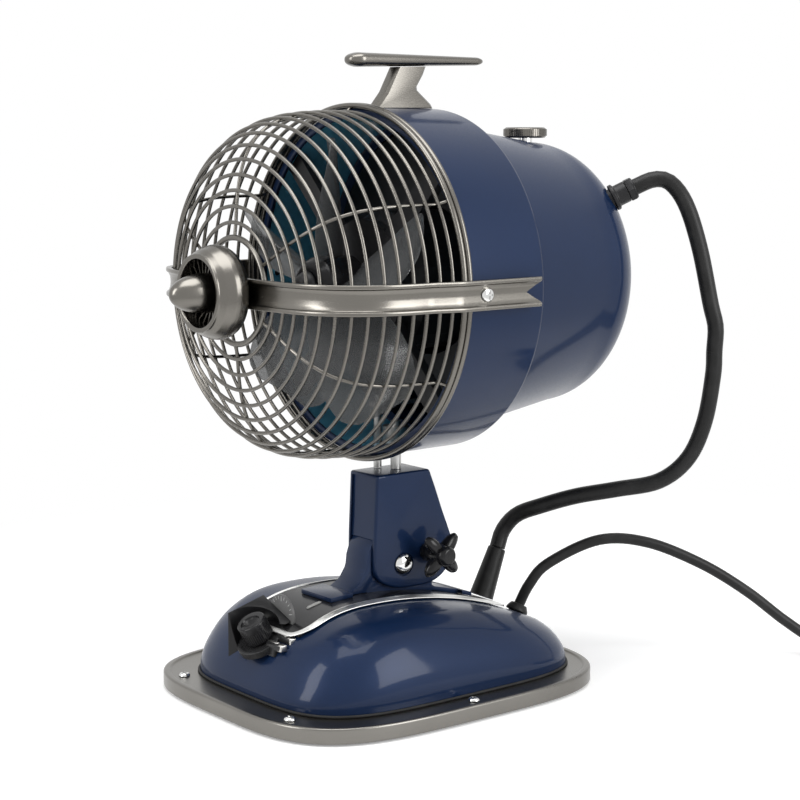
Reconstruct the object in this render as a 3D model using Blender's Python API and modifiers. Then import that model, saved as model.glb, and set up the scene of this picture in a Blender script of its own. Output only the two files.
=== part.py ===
# Desk air circulator fan in the style of a turbine, built as separate pieces.
# Metres, +Z up, +X to the right, the fan blows towards -Y.
# The origin is under the middle of the base, on the table.

import bpy
import bmesh
import math
from mathutils import Vector, Matrix

# Clearance between pieces that touch in the real fan
gap = 0.0003
# How far two solids that become one piece are pushed into each other
overlap = 0.001
# Extra length of a cutter beyond what it cuts
cut_margin = 0.004
merge_distance = 0.00002

# Base plate: a bright metal tray with a cover and four feet under it
plate_half_width = 0.1004
plate_half_depth = 0.1183
plate_squareness = 3.8
plate_height = 0.0105
plate_bottom = 0.0012
plate_wall = 0.003
plate_lip = 0.0035
plate_lip_drop = 0.001
plate_deck = 0.0025
cover_thickness = 0.0015
foot_radius = 0.009
foot_height = 0.0038
foot_x = 0.070
foot_y = 0.085
boss_radius = 0.008
plate_screw_radius = 0.0035
plate_screw_height = 0.0016
plate_screw_front_x = 0.055
plate_screw_front_y = 0.104
plate_screw_side_x = 0.0905

# Blue base body: an arched cover standing on the plate
body_half_width = 0.082
body_front_y = -0.098
body_rear_y = 0.108
body_squareness = 4.0
body_wall = 0.0022
body_peak_height = 0.0585
body_peak_y = -0.025
body_front_drop = 0.0105
body_front_run = 0.050
body_front_power = 2.75
body_rear_drop = 0.0315
body_rear_run = 0.133
# Shares at each level of the body: height, width, length, and how far it sits to the rear
body_level_shares = [(0.0, 1.0, 1.0, 0.0), (0.25, 0.995, 0.995, 0.0), (0.5, 0.955, 0.98, 0.005),
                     (0.75, 0.865, 0.95, 0.012), (0.9, 0.755, 0.91, 0.02), (0.965, 0.65, 0.86, 0.025),
                     (0.985, 0.45, 0.68, 0.025), (1.0, 0.2, 0.36, 0.025), (1.0, 0.06, 0.1, 0.025)]
body_ring_points = 36

# Black top panel that follows the arch, with a trim strip round it
panel_half_width = 0.0275
panel_front_y = -0.078
panel_rear_y = 0.078
panel_thickness = 0.0012
panel_steps = 12
trim_width = 0.0025
trim_height = 0.0016

# Control end of the panel
deck_slope = math.radians(30)
deck_radius = 0.0145
deck_thickness = 0.0045
knob_radius = 0.00875
knob_height = 0.0127
knob_top_y = -0.0929
knob_top_z_step = 0.0055
knob_top_z = body_peak_height - knob_top_z_step
knob_dish_depth = 0.0016
knob_shaft_radius = 0.003
knob_shaft_length = 0.012
timer_size = 0.015
timer_depth = 0.009
timer_drop = 0.0052
timer_shift = 0.006
pod_left_x = -0.015
pod_right_x = 0.0125
pod_front_y = -0.0985
pod_rear_y = -0.0735
pod_left_front_z_step = 0.0030
pod_left_front_z = body_peak_height - pod_left_front_z_step
pod_left_rear_z_step = 0.0040
pod_left_rear_z = body_peak_height + pod_left_rear_z_step
pod_right_rear_z_step = 0.0060
pod_right_rear_z = body_peak_height - pod_right_rear_z_step
pod_right_front_z_step = 0.0090
pod_right_front_z = body_peak_height - pod_right_front_z_step
pod_middle_y = -0.080
pod_sink = 0.008
dial_radius = 0.012
dial_thickness = 0.0016
dial_x = 0.003
dial_z_step = 0.0045
dial_z = body_peak_height - dial_z_step
key_length = 0.0148
key_width = 0.0052
key_height = 0.0085
key_pitch = 0.0066
key_right_x = 0.0245
key_first_y = -0.0865
key_first_z_step = 0.0160
key_first_z = body_peak_height - key_first_z_step
key_rise = 0.0029
key_travel = 0.002
key_count = 3
key_nose = 0.006
key_round = 0.0007
key_clear = 0.0006

# Neck bracket: a tongue with a round top that stands on the base plate
tilt_y = 0.0094
tilt_z_step = 0.0158
tilt_z = body_peak_height + tilt_z_step
tongue_radius = 0.026
tongue_half_width = 0.0104
tongue_front_offsets = [(-0.0269, -0.0023), (-0.0309, -0.0083), (-0.0394, -0.0133)]
tongue_front_points = [(tilt_y + y, tilt_z + z) for y, z in tongue_front_offsets]
tongue_foot_front_y = -0.046
tongue_foot_rear_y = 0.062
tongue_foot_half_width = 0.015
tongue_foot_lift = 0.0025
tongue_rear_y = 0.036
tongue_rear_z_step = 0.0183
tongue_rear_z = tilt_z - tongue_rear_z_step
pillar_front_y = -0.016
pillar_rear_y = 0.034

# Yoke: the blue fork that carries the head and tilts on the tongue
yoke_outer_half_width = 0.0138
yoke_inner_half_width = 0.0108
# Side outline of the yoke, measured from the tilt axis
yoke_side_offsets = [(-0.0199, 0.0562), (0.0201, 0.0562), (0.0251, 0.0441), (0.0306, 0.0297),
                     (0.0356, 0.0177), (0.0381, 0.0097), (0.0371, -0.0023), (0.0326, -0.0093),
                     (0.0256, -0.0138), (0.0176, -0.0155), (0.0026, -0.0155), (-0.0064, -0.0143),
                     (-0.0154, -0.0108), (-0.0204, -0.0063), (-0.0220, -0.0003), (-0.0218, 0.0157),
                     (-0.0209, 0.0357)]
yoke_side_points = [(tilt_y + y, tilt_z + z) for y, z in yoke_side_offsets]
yoke_top_z = yoke_side_points[0][1]
yoke_round = 0.0012
web_radius = 0.0266
yoke_slot_front_y = -0.030
yoke_slot_rear_y = 0.0365
yoke_slot_bottom_z_step = 0.0243
yoke_slot_bottom_z = tilt_z - yoke_slot_bottom_z_step
tilt_back = math.radians(9)
tilt_down = math.radians(14)
bolt_shaft_radius = 0.004
bolt_head_radius = 0.0068
bolt_head_height = 0.0034
nut_radius = 0.0075
nut_height = 0.0055
clamp_y_step = 0.0176
clamp_y = tilt_y + clamp_y_step
clamp_z_step = 0.0057
clamp_z = tilt_z + clamp_z_step
clamp_shaft_radius = 0.0028
wing_hub_radius = 0.0062
wing_hub_length = 0.022
wing_reach = 0.0165
wing_tip_radius = 0.0052
wing_thickness = 0.0085
wing_count = 4
clamp_nut_radius = 0.0065

# Drum of the head: its radius sets the head's height over the yoke
shell_front_radius = 0.1016
drum_clearance = 0.0125
drum_bottom_z = yoke_top_z + drum_clearance
head_z = drum_bottom_z + shell_front_radius
shell_top_z = head_z + shell_front_radius

# Posts on top of the yoke
pivot_y = 0.014
post_radius = 0.00325
post_top_z_step = 0.0170
post_top_z = drum_bottom_z + post_top_z_step
link_pin_x = -0.0095
link_pin_y = 0.0074
link_pin_radius = 0.0025
link_pin_top_z_step = 0.0322
link_pin_top_z = drum_bottom_z + link_pin_top_z_step
link_pin_shoulder_z_step = 0.0242
link_pin_shoulder_z = drum_bottom_z + link_pin_shoulder_z_step
bush_radius = 0.008
bush_bottom_z_step = 0.0032
bush_bottom_z = drum_bottom_z + bush_bottom_z_step
bush_top_z_step = 0.0108
bush_top_z = bush_bottom_z + bush_top_z_step
swing = math.radians(40)

# Head: axis along Y, guard rim at this place
rim_y = -0.018
rim_radius_step = 0.0018
rim_radius = shell_front_radius + rim_radius_step
rim_wire = 0.00165
ring_wire = 0.0010
rib_wire = 0.00085
rib_count = 6
rib_turn = math.radians(30)
guard_rings = 13
guard_depth = 0.0835
guard_radius_step = 0.0036
guard_radius = rim_radius - guard_radius_step
guard_power = 4.0
guard_first_s = 0.0062
guard_last_radius = 0.0400
hub_ring_radius = 0.0300
hub_ring_wire = 0.0017
ring_points = 24

# Front shell
shell_rear_radius_step = 0.0001
shell_rear_radius = shell_front_radius - shell_rear_radius_step
shell_rear_y = 0.0427
shell_wall = 0.002
shell_lip_radius_step = 0.0051
shell_lip_radius = shell_front_radius - shell_lip_radius_step
shell_end_radius_step = 0.0077
shell_end_radius = shell_rear_radius - shell_end_radius_step
shell_front_y = -0.0155
shell_segments = 44

# Rear shell: a straight taper that ends in a round dome
rear_start_radius_step = 0.0006
rear_start_radius = shell_end_radius - rear_start_radius_step
rear_start_y = 0.0390
rear_taper_y = 0.117
rear_taper_radius_step = 0.0117
rear_taper_radius = rear_start_radius - rear_taper_radius_step
rear_dome_length = 0.0485
rear_dome_points = 6
rear_dome_power = 2.2
rear_dome_root = 1.7

# Strap: a channel that holds the guard and the hub
strap_half_height = 0.0084
strap_flange = 0.0018
strap_web = 0.0012
strap_rise = 0.0030
strap_clear = 0.0003
strap_end_y = 0.0330
strap_notch = 0.010
strap_side_x_step = 0.0020
strap_side_x = rim_radius + strap_side_x_step
strap_screw_y = -0.0054
strap_screw_radius = 0.0042
strap_screw_head = 0.0016
strap_screw_shaft = 0.0019
strap_screw_length = 0.0105

# Hub nacelle and its bullet nose
nacelle_rear_radius = 0.0270
nacelle_front_radius = 0.0220
nacelle_mouth_radius = 0.0190
nacelle_length = 0.0200
nacelle_floor = 0.0025
nose_radius = 0.0110
nose_length = 0.0240
nose_boss_radius = 0.0060
nose_start = 0.0130

# Handle on top of the front shell
handle_front_y = -0.0216
handle_rear_y = 0.0803
handle_rise = 0.0324
handle_top_front_z = shell_top_z + handle_rise
handle_top_rear_z_step = 0.0014
handle_top_rear_z = handle_top_front_z - handle_top_rear_z_step
handle_nose_height = 0.0086
handle_tail_height = 0.0046
handle_nose_width = 0.0160
handle_tail_width = 0.0090
pedestal_half_width = 0.0046
# Where the pedestal's outline runs, and the share of the handle's rise at each point
pedestal_ys = [0.0140, 0.0040, -0.0030, -0.0040, 0.0405, 0.0380, 0.0265, 0.0320, 0.0356]
pedestal_rise_shares = [0.858, 0.3025, 0.0494, -0.0309, -0.0309, 0.0864, 0.3642, 0.6111, 0.858]
pedestal_points = [(y, shell_top_z + handle_rise * share) for y,
                   share in zip(pedestal_ys, pedestal_rise_shares)]

# Clutch knob on top of the rear shell
clutch_y = 0.1166
clutch_radius = 0.0137
clutch_bottom_z_step = 0.0026
clutch_bottom_z = head_z + rear_taper_radius + clutch_bottom_z_step
clutch_height = 0.0065
clutch_stem_radius = 0.0045

# Motor, gearbox and rotor
motor_radius = 0.042
motor_front_y = -0.0040
motor_rear_y = 0.0760
bracket_front_y = -0.0110
bracket_rear_y = -0.0045
bracket_arm_width = 0.014
bracket_hole_radius = 0.009
gearbox_half = 0.025
gearbox_front_y = 0.0763
gearbox_rear_y = 0.1300
shaft_radius = 0.004
shaft_front_y = -0.0560
rotor_front_y = -0.0500
rotor_rear_y = -0.0200
rotor_hub_radius = 0.0170
blade_count = 5
blade_tip_radius_step = 0.0148
blade_tip_radius = guard_radius - blade_tip_radius_step
blade_root_radius = 0.0140
blade_thickness = 0.0016
blade_root_angle = math.radians(62)
blade_tip_angle = math.radians(32)
blade_root_chord = 0.034
blade_tip_chord = 0.066
blade_stations = 6
spinner_radius = 0.0090
spinner_length = 0.0090
crank_y = 0.108
crank_throw = 0.007
crank_radius = 0.0115
crank_thickness = 0.004
crank_shaft_radius = 0.003
crank_pin_radius = 0.002
link_thickness = 0.0024
link_bottom_z_step = 0.0255
link_bottom_z = drum_bottom_z + link_bottom_z_step
link_eye_radius = 0.0052
link_width = 0.006
link_slot_half_width = 0.0042
link_slot_near = 0.0100
link_slot_far = 0.0067
link_slot_wall = 0.002
baffle_y = 0.0375
baffle_inner = 0.0460
baffle_outer_step = 0.0023
baffle_outer = shell_end_radius - baffle_outer_step
baffle_thickness = 0.0012
baffle_window = 0.034

# Gland where the cord leaves the rear shell
gland_angle = math.radians(39.19)
gland_radius_share = 0.9087
gland_dome_share = 0.3546
gland_x = rear_taper_radius * gland_radius_share * math.cos(gland_angle)
gland_y = rear_taper_y + rear_dome_length * gland_dome_share
gland_z = head_z + rear_taper_radius * gland_radius_share * math.sin(gland_angle)
gland_normal = Vector((0.553, 0.702, 0.448)).normalized()
gland_collar_radius = 0.0082
gland_collar_height = 0.0022
gland_body_radius = 0.0066
gland_body_height = 0.0075
gland_nut_radius = 0.0076
gland_nut_height = 0.0050
gland_stub_radius = 0.0062
gland_stub_length = 0.0070
gland_lift = 0.0024

# Cord from the head to the base, and the boot it enters
head_cord_radius = 0.005
gland_place = Vector((gland_x, gland_y, gland_z))
boot_top_step = 0.0115
boot_bottom_step = 0.0180
boot_top = Vector((0.0, 0.096, body_peak_height + boot_top_step))
boot_bottom = Vector((0.0, 0.083, body_peak_height - boot_bottom_step))
boot_top_radius = 0.0058
boot_bottom_radius = 0.0078
upper_route_offsets = [(0.0171, 0.0218, 0.0126), (0.0241, 0.0288, 0.0101), (0.0331, 0.0333, -0.0034),
                       (0.0411, 0.0373, -0.0294), (0.0471, 0.0413, -0.0624)]
upper_route = [gland_place + Vector(step) for step in upper_route_offsets]
seam_offset = Vector((0.0492, 0.0433, -0.0914))
seam_point = gland_place + seam_offset
lower_route_offsets = [(0.1025, 0.0785, 0.0860), (0.0950, 0.0725, 0.0630), (0.0810, 0.0620, 0.0480),
                       (0.0600, 0.0460, 0.0415), (0.0400, 0.0305, 0.0360), (0.0215, 0.0180, 0.0285),
                       (0.0075, 0.0100, 0.0215)]
lower_route = [boot_top + Vector(step) for step in lower_route_offsets]

# Mains cord, its grommet, coil, tie and plug
mains_radius = 0.0034
grommet_x = 0.019
grommet_y = 0.0955
grommet_neck_radius = 0.0050
grommet_radius = 0.0072
grommet_height = 0.0055
grommet_lift = 0.0007
mains_route = [Vector((0.0239, 0.1026, 0.0502)), Vector((0.0304, 0.1122, 0.0631)),
               Vector((0.0483, 0.1383, 0.0776)), Vector((0.0660, 0.1640, 0.0757)),
               Vector((0.0860, 0.1930, 0.0612)), Vector((0.1030, 0.2170, 0.0430)),
               Vector((0.1170, 0.2370, 0.0240)), Vector((0.1290, 0.2530, 0.0110))]
coil_centre = Vector((0.1850, 0.3020, 0.0))
coil_inner_radius = 0.0305
coil_pitch = 0.0074
coil_turns = 3
coil_loop_points = 24
coil_lift = 0.0012
coil_tuck = 0.0012
coil_layer_rise = 0.0074
coil_start_angle = math.radians(202)
coil_lead = 0.0080
tie_thickness = 0.0008
tie_width = 0.0060
tie_angle = math.radians(75)
tie_clear = 0.0006
plug_length = 0.036
plug_width = 0.026
plug_height = 0.0200
plug_pin_radius = 0.0020
plug_pin_length = 0.0190
plug_pin_spacing = 0.0190


def clear_scene():
    for obj in list(bpy.data.objects):
        bpy.data.objects.remove(obj, do_unlink=True)


def make_collection(name):
    group = bpy.data.collections.new(name)
    bpy.context.scene.collection.children.link(group)
    return group


def material(name, colour, roughness, metallic=0.0):
    mat = bpy.data.materials.new(name)
    mat.use_nodes = True
    shader = mat.node_tree.nodes["Principled BSDF"]
    shader.inputs["Base Color"].default_value = (*colour, 1.0)
    shader.inputs["Roughness"].default_value = roughness
    shader.inputs["Metallic"].default_value = metallic
    return mat


finishes = {
    "satin_metal": ((0.62, 0.60, 0.57), 0.28, 1.0),
    "chrome": ((0.80, 0.80, 0.80), 0.12, 1.0),
    "blue_paint": ((0.022, 0.030, 0.110), 0.15, 0.0),
    "black_plastic": ((0.012, 0.012, 0.013), 0.38, 0.0),
    "black_rubber": ((0.015, 0.015, 0.015), 0.60, 0.0),
    "grey_plastic": ((0.30, 0.30, 0.29), 0.35, 0.0),
    "smoky_plastic": ((0.05, 0.06, 0.07), 0.20, 0.0),
    "steel": ((0.45, 0.45, 0.45), 0.35, 1.0),
    "brass": ((0.60, 0.42, 0.18), 0.35, 1.0),
}


def finish_object(name, mesh, finish, smooth=False, cutter=False):
    obj = bpy.data.objects.new(name, mesh)
    if cutter:
        cutters.objects.link(obj)
        obj.hide_render = True
        obj.display_type = "WIRE"
        return obj
    parts.objects.link(obj)
    colour, roughness, metallic = finishes[finish]
    mesh.materials.append(material(name + "_" + finish, colour, roughness, metallic))
    for face in mesh.polygons:
        face.use_smooth = smooth
    return obj


def mesh_of(name, work):
    bmesh.ops.recalc_face_normals(work, faces=work.faces)
    mesh = bpy.data.meshes.new(name)
    work.to_mesh(mesh)
    work.free()
    return mesh


def turn_to(direction):
    return direction.to_track_quat("Z", "Y").to_matrix().to_4x4()


axis_x = Vector((1, 0, 0))
axis_y = Vector((0, 1, 0))
axis_z = Vector((0, 0, 1))


def add_rod(work, start, end, radius, segments=20, end_radius=None):
    # Adds a closed round bar between two points to a mesh that is being built
    along = end - start
    place = Matrix.Translation((start + end) / 2) @ turn_to(along)
    bmesh.ops.create_cone(work, cap_ends=True, segments=segments, radius1=radius,
                          radius2=radius if end_radius is None else end_radius,
                          depth=along.length, matrix=place)


def rod(name, start, end, radius, finish, segments=20, end_radius=None, cutter=False):
    work = bmesh.new()
    add_rod(work, start, end, radius, segments, end_radius)
    return finish_object(name, mesh_of(name, work), finish, True, cutter)


def add_box(work, low, high):
    centre = (low + high) / 2
    size = high - low
    place = Matrix.Translation(centre) @ Matrix.Diagonal((*size, 1.0))
    bmesh.ops.create_cube(work, size=1.0, matrix=place)


def box(name, low, high, finish, cutter=False):
    work = bmesh.new()
    add_box(work, low, high)
    return finish_object(name, mesh_of(name, work), finish, False, cutter)


def soften(obj, width, segments=1):
    bevel = obj.modifiers.new("Rounded edges", "BEVEL")
    bevel.width = width
    bevel.segments = segments
    bevel.limit_method = "ANGLE"
    bevel.angle_limit = math.radians(35)
    return bevel


def boolean(obj, other, operation="DIFFERENCE"):
    change = obj.modifiers.new(operation.title() + " " + other.name, "BOOLEAN")
    change.operation = operation
    change.object = other
    change.solver = "EXACT"
    return change


def prism(name, outline, half_width, finish, centre_x=0.0, cutter=False):
    # A side outline of (y, z) points, made solid across X
    work = bmesh.new()
    sides = []
    for x in (centre_x - half_width, centre_x + half_width):
        sides.append([work.verts.new((x, y, z)) for y, z in outline])
    work.faces.new(sides[0])
    work.faces.new(sides[1])
    for i in range(len(outline)):
        j = (i + 1) % len(outline)
        work.faces.new((sides[0][i], sides[0][j], sides[1][j], sides[1][i]))
    return finish_object(name, mesh_of(name, work), finish, False, cutter)


def turned(name, profile, finish, location, axis, segments=32, closed=True, cutter=False):
    # A profile of (radius, height) points turned round an axis through the location
    mesh = bpy.data.meshes.new(name)
    points = [(r, 0.0, h) for r, h in profile]
    edges = [(i, i + 1) for i in range(len(points) - 1)]
    if closed:
        edges.append((len(points) - 1, 0))
    mesh.from_pydata(points, edges, [])
    obj = finish_object(name, mesh, finish, False, cutter)
    screw = obj.modifiers.new("Turned", "SCREW")
    screw.axis = "Z"
    screw.steps = segments
    screw.render_steps = segments
    screw.use_merge_vertices = True
    screw.merge_threshold = merge_distance
    screw.use_smooth_shade = True
    obj.matrix_world = Matrix.Translation(location) @ turn_to(axis)
    return obj


def add_rings(work, rings, cap_start=True, cap_end=True):
    # Joins rings of the same number of points into one skin
    rows = [[work.verts.new(p) for p in ring] for ring in rings]
    count = len(rows[0])
    for low, high in zip(rows, rows[1:]):
        for i in range(count):
            j = (i + 1) % count
            work.faces.new((low[i], low[j], high[j], high[i]))
    if cap_start:
        work.faces.new(rows[0])
    if cap_end:
        work.faces.new(rows[-1])


def loft(name, rings, finish, smooth=True, cap_start=True, cap_end=True, cutter=False):
    work = bmesh.new()
    add_rings(work, rings, cap_start, cap_end)
    return finish_object(name, mesh_of(name, work), finish, smooth, cutter)


def superellipse(half_x, half_y, power, count):
    points = []
    for i in range(count):
        t = 2 * math.pi * (i + 0.5) / count
        c = math.cos(t)
        s = math.sin(t)
        x = half_x * math.copysign(abs(c) ** (2 / power), c)
        y = half_y * math.copysign(abs(s) ** (2 / power), s)
        points.append((x, y))
    return points


def smooth_route(points, spacing):
    # Points at an even spacing on a smooth curve through hand-placed points
    dense = []
    ends = [2 * points[0] - points[1]] + points + [2 * points[-1] - points[-2]]
    for i in range(1, len(ends) - 2):
        a, b, c, d = ends[i - 1:i + 3]
        for k in range(16):
            t = k / 16
            dense.append(0.5 * (2 * b + (c - a) * t + (2 * a - 5 * b + 4 * c - d) * t * t
                                + (3 * b - a - 3 * c + d) * t ** 3))
    dense.append(points[-1].copy())
    total = sum((q - p).length for p, q in zip(dense, dense[1:]))
    count = max(2, round(total / spacing))
    step = total / count
    route = [dense[0]]
    walked = 0.0
    for p, q in zip(dense, dense[1:]):
        length = (q - p).length
        while len(route) < count and walked + length >= len(route) * step:
            route.append(p.lerp(q, (len(route) * step - walked) / length))
        walked += length
    route.append(dense[-1])
    return route


def tube(name, points, radius, finish, resolution=2):
    curve = bpy.data.curves.new(name, "CURVE")
    curve.dimensions = "3D"
    curve.bevel_depth = radius
    curve.bevel_resolution = resolution
    curve.render_resolution_u = 0
    curve.use_fill_caps = True
    spline = curve.splines.new("POLY")
    spline.points.add(len(points) - 1)
    for knot, p in zip(spline.points, points):
        knot.co = (*p, 1.0)
    obj = bpy.data.objects.new(name, curve)
    parts.objects.link(obj)
    colour, roughness, metallic = finishes[finish]
    curve.materials.append(material(name + "_" + finish, colour, roughness, metallic))
    return obj


def arch_z(y):
    # Height of the top of the blue body along its middle
    if y < body_peak_y:
        share = (body_peak_y - y) / body_front_run
        return body_peak_height - body_front_drop * share ** body_front_power
    share = (y - body_peak_y) / body_rear_run
    return body_peak_height - body_rear_drop * share ** 2


def build_base():
    def ring(inset, z):
        outline = superellipse(plate_half_width - inset, plate_half_depth - inset,
                               plate_squareness, 40)
        return [Vector((x, y, z)) for x, y in outline]

    deck_top = plate_height - plate_lip_drop
    deck_bottom = deck_top - plate_deck
    loft("base_plate", [ring(plate_wall, deck_bottom), ring(plate_wall, plate_bottom),
                        ring(plate_lip_drop, plate_bottom), ring(0.0, plate_bottom + plate_lip_drop),
                        ring(0.0, plate_height - plate_lip_drop), ring(plate_lip_drop, plate_height),
                        ring(plate_lip, plate_height), ring(plate_lip, deck_top)],
         "satin_metal", smooth=False)
    cover_inset = plate_wall + gap
    loft("bottom_cover", [ring(cover_inset, plate_bottom), ring(cover_inset, plate_bottom + cover_thickness)],
         "black_plastic", smooth=False)
    cover = parts.objects["bottom_cover"]
    boss = rod("cover_boss", Vector((0, 0, 0)), Vector((0, 0, plate_bottom + overlap)), boss_radius,
               "black_plastic", 20, cutter=True)
    boolean(cover, boss, "UNION")
    index = 1
    for x in (-foot_x, foot_x):
        for y in (-foot_y, foot_y):
            foot = rod(f"rubber_foot_{index}", Vector((x, y, 0)), Vector((x, y, foot_height)),
                       foot_radius, "black_rubber", 24)
            hole = rod(f"foot_hole_{index}", Vector((x, y, -cut_margin)),
                       Vector((x, y, foot_height + cut_margin)), foot_radius + gap,
                       "black_rubber", 24, cutter=True)
            boolean(cover, hole)
            foot.data.update()
            index += 1
    index = 1
    for x, y in ((-plate_screw_front_x, -plate_screw_front_y), (plate_screw_front_x, -plate_screw_front_y),
                 (-plate_screw_side_x, 0), (plate_screw_side_x, 0)):
        bottom = deck_top + gap
        turned(f"plate_screw_{index}", [(0.0, plate_screw_height),
                                        (plate_screw_radius * 0.6, plate_screw_height * 0.8),
                                        (plate_screw_radius, 0.0), (0.0, 0.0)],
               "chrome", Vector((x, y, bottom)), axis_z, 16, closed=False)
        index += 1


def body_ring(height_share, width_share, length_share, shift_share, inset=0.0):
    half_length = (body_rear_y - body_front_y) / 2
    middle = body_front_y + half_length * (1 + shift_share)
    bottom = plate_height - plate_lip_drop + gap
    ring = []
    outline = superellipse(body_half_width * width_share - inset, half_length * length_share - inset,
                           body_squareness, body_ring_points)
    for x, y in outline:
        top = arch_z(middle + y) - inset
        ring.append(Vector((x, middle + y, bottom + (top - bottom) * height_share)))
    return ring


def body_surface(x, y):
    # Height of the blue body's skin above a place on the base
    levels = []
    half_length = (body_rear_y - body_front_y) / 2
    for height_share, width_share, length_share, shift_share in body_level_shares:
        middle = body_front_y + half_length * (1 + shift_share)
        reach = (abs(x) / (body_half_width * width_share)) ** body_squareness
        reach += (abs(y - middle) / (half_length * length_share)) ** body_squareness
        levels.append((reach, height_share))
    share = levels[-1][1]
    for (r1, h1), (r2, h2) in zip(levels, levels[1:]):
        if r1 <= 1 <= r2:
            share = h1 + (h2 - h1) * (1 - r1) / (r2 - r1)
    bottom = plate_height - plate_lip_drop + gap
    return bottom + (arch_z(y) - bottom) * share


def body_normal(x, y, span):
    slope_x = (body_surface(x + span, y) - body_surface(x - span, y)) / (2 * span)
    slope_y = (body_surface(x, y + span) - body_surface(x, y - span)) / (2 * span)
    return Vector((-slope_x, -slope_y, 1)).normalized()


def build_body():
    outer = [body_ring(*level) for level in body_level_shares]
    inner = [body_ring(*level, body_wall) for level in body_level_shares]
    loft("base_body", list(reversed(inner)) + outer, "blue_paint")
    body = parts.objects["base_body"]
    opening = box("pillar_opening",
                  Vector((-tongue_half_width - gap, pillar_front_y - gap, plate_height)),
                  Vector((tongue_half_width + gap, pillar_rear_y + gap, body_peak_height + cut_margin)),
                  "blue_paint", cutter=True)
    return body, opening


def strip_outline(front, rear, low, high):
    # Side outline of a strip that follows the arch between two heights above it
    span = rear - front
    ys = [front + span * i / panel_steps for i in range(panel_steps + 1)]
    lower = [(y, arch_z(y) + low) for y in ys]
    upper = [(y, arch_z(y) + high) for y in reversed(ys)]
    return lower + upper


def build_panel(opening):
    low = gap
    high = gap + panel_thickness
    panel = prism("top_panel", strip_outline(panel_front_y, panel_rear_y, low, high),
                  panel_half_width, "black_plastic")
    boolean(panel, opening)
    trim = prism("panel_trim", strip_outline(panel_front_y, panel_rear_y + gap + trim_width, low,
                                             gap + trim_height),
                 panel_half_width + gap + trim_width, "chrome")
    inner = prism("trim_inside", strip_outline(panel_front_y - cut_margin, panel_rear_y + gap,
                                               -cut_margin, cut_margin),
                  panel_half_width + gap, "chrome", cutter=True)
    boolean(trim, inner)
    return panel


def slope_point(x, along, up):
    # A point of the sloping control end: across, up the slope and out of it
    normal = Vector((0, -math.sin(deck_slope), math.cos(deck_slope)))
    uphill = Vector((0, math.cos(deck_slope), math.sin(deck_slope)))
    top = Vector((0, knob_top_y, knob_top_z))
    return top + axis_x * x + uphill * along + normal * (up - knob_height)


def build_controls(body):
    normal = Vector((0, -math.sin(deck_slope), math.cos(deck_slope)))
    deck = rod("knob_deck", slope_point(0, 0, -deck_thickness), slope_point(0, 0, -gap), deck_radius,
               "grey_plastic", 36)
    bore = rod("knob_bore", slope_point(0, 0, -2 * knob_shaft_length), slope_point(0, 0, knob_height),
               knob_shaft_radius + gap, "black_plastic", 20, cutter=True)
    boolean(deck, bore)
    knob = turned("timer_knob", [(0.0, knob_height - knob_dish_depth),
                                 (knob_radius * 0.55, knob_height - knob_dish_depth),
                                 (knob_radius * 0.85, knob_height),
                                 (knob_radius, knob_height - knob_dish_depth / 2),
                                 (knob_radius, 0.0), (knob_shaft_radius, 0.0),
                                 (knob_shaft_radius, -knob_shaft_length), (0.0, -knob_shaft_length)],
                  "black_plastic", slope_point(0, 0, 0), normal, 24, closed=False)
    seat = rod("deck_seat", slope_point(0, 0, -deck_thickness - gap), slope_point(0, 0, knob_height),
               deck_radius + gap, "blue_paint", 36, cutter=True)
    boolean(body, seat)
    boolean(parts.objects["top_panel"], seat)
    boolean(parts.objects["panel_trim"], seat)
    boolean(body, bore)
    work = bmesh.new()
    centre = slope_point(0, timer_shift, -deck_thickness - timer_drop - timer_depth / 2)
    place = Matrix.Translation(centre) @ turn_to(normal)
    bmesh.ops.create_cube(work, size=1.0,
                          matrix=place @ Matrix.Diagonal((timer_size, timer_size, timer_depth, 1)))
    timer = finish_object("timer_body", mesh_of("timer_body", work), "grey_plastic")
    boolean(timer, bore)


def build_pod():
    # Raised block with a sloping top, and the half dial that stands behind its edge
    work = bmesh.new()
    low = arch_z(pod_front_y) - pod_sink
    corners = []
    for x, y, z in ((pod_left_x, pod_front_y, pod_left_front_z), (pod_left_x, pod_rear_y, pod_left_rear_z),
                    (pod_right_x, pod_rear_y, pod_right_rear_z),
                    (pod_right_x, pod_middle_y, pod_right_front_z)):
        corners.append(work.verts.new((x, y, z)))
        corners.append(work.verts.new((x, y, low)))
    bmesh.ops.convex_hull(work, input=corners)
    pod = finish_object("control_pod", mesh_of("control_pod", work), "black_plastic")
    clear = rod("knob_clearance", slope_point(0, 0, -2 * deck_thickness), slope_point(0, 0, 3 * knob_height),
                deck_radius + gap, "black_plastic", 36, cutter=True)
    boolean(pod, clear)
    floor = prism("pod_floor", strip_outline(body_front_y - plate_height, panel_rear_y, -body_peak_height,
                                             2 * gap + panel_thickness), body_half_width, "black_plastic",
                                             cutter=True)
    boolean(pod, floor)
    dial = rod("dial_plate", Vector((dial_x, pod_rear_y + gap, dial_z)),
               Vector((dial_x, pod_rear_y + gap + dial_thickness, dial_z)), dial_radius, "grey_plastic", 36)
    boolean(dial, floor)


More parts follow.
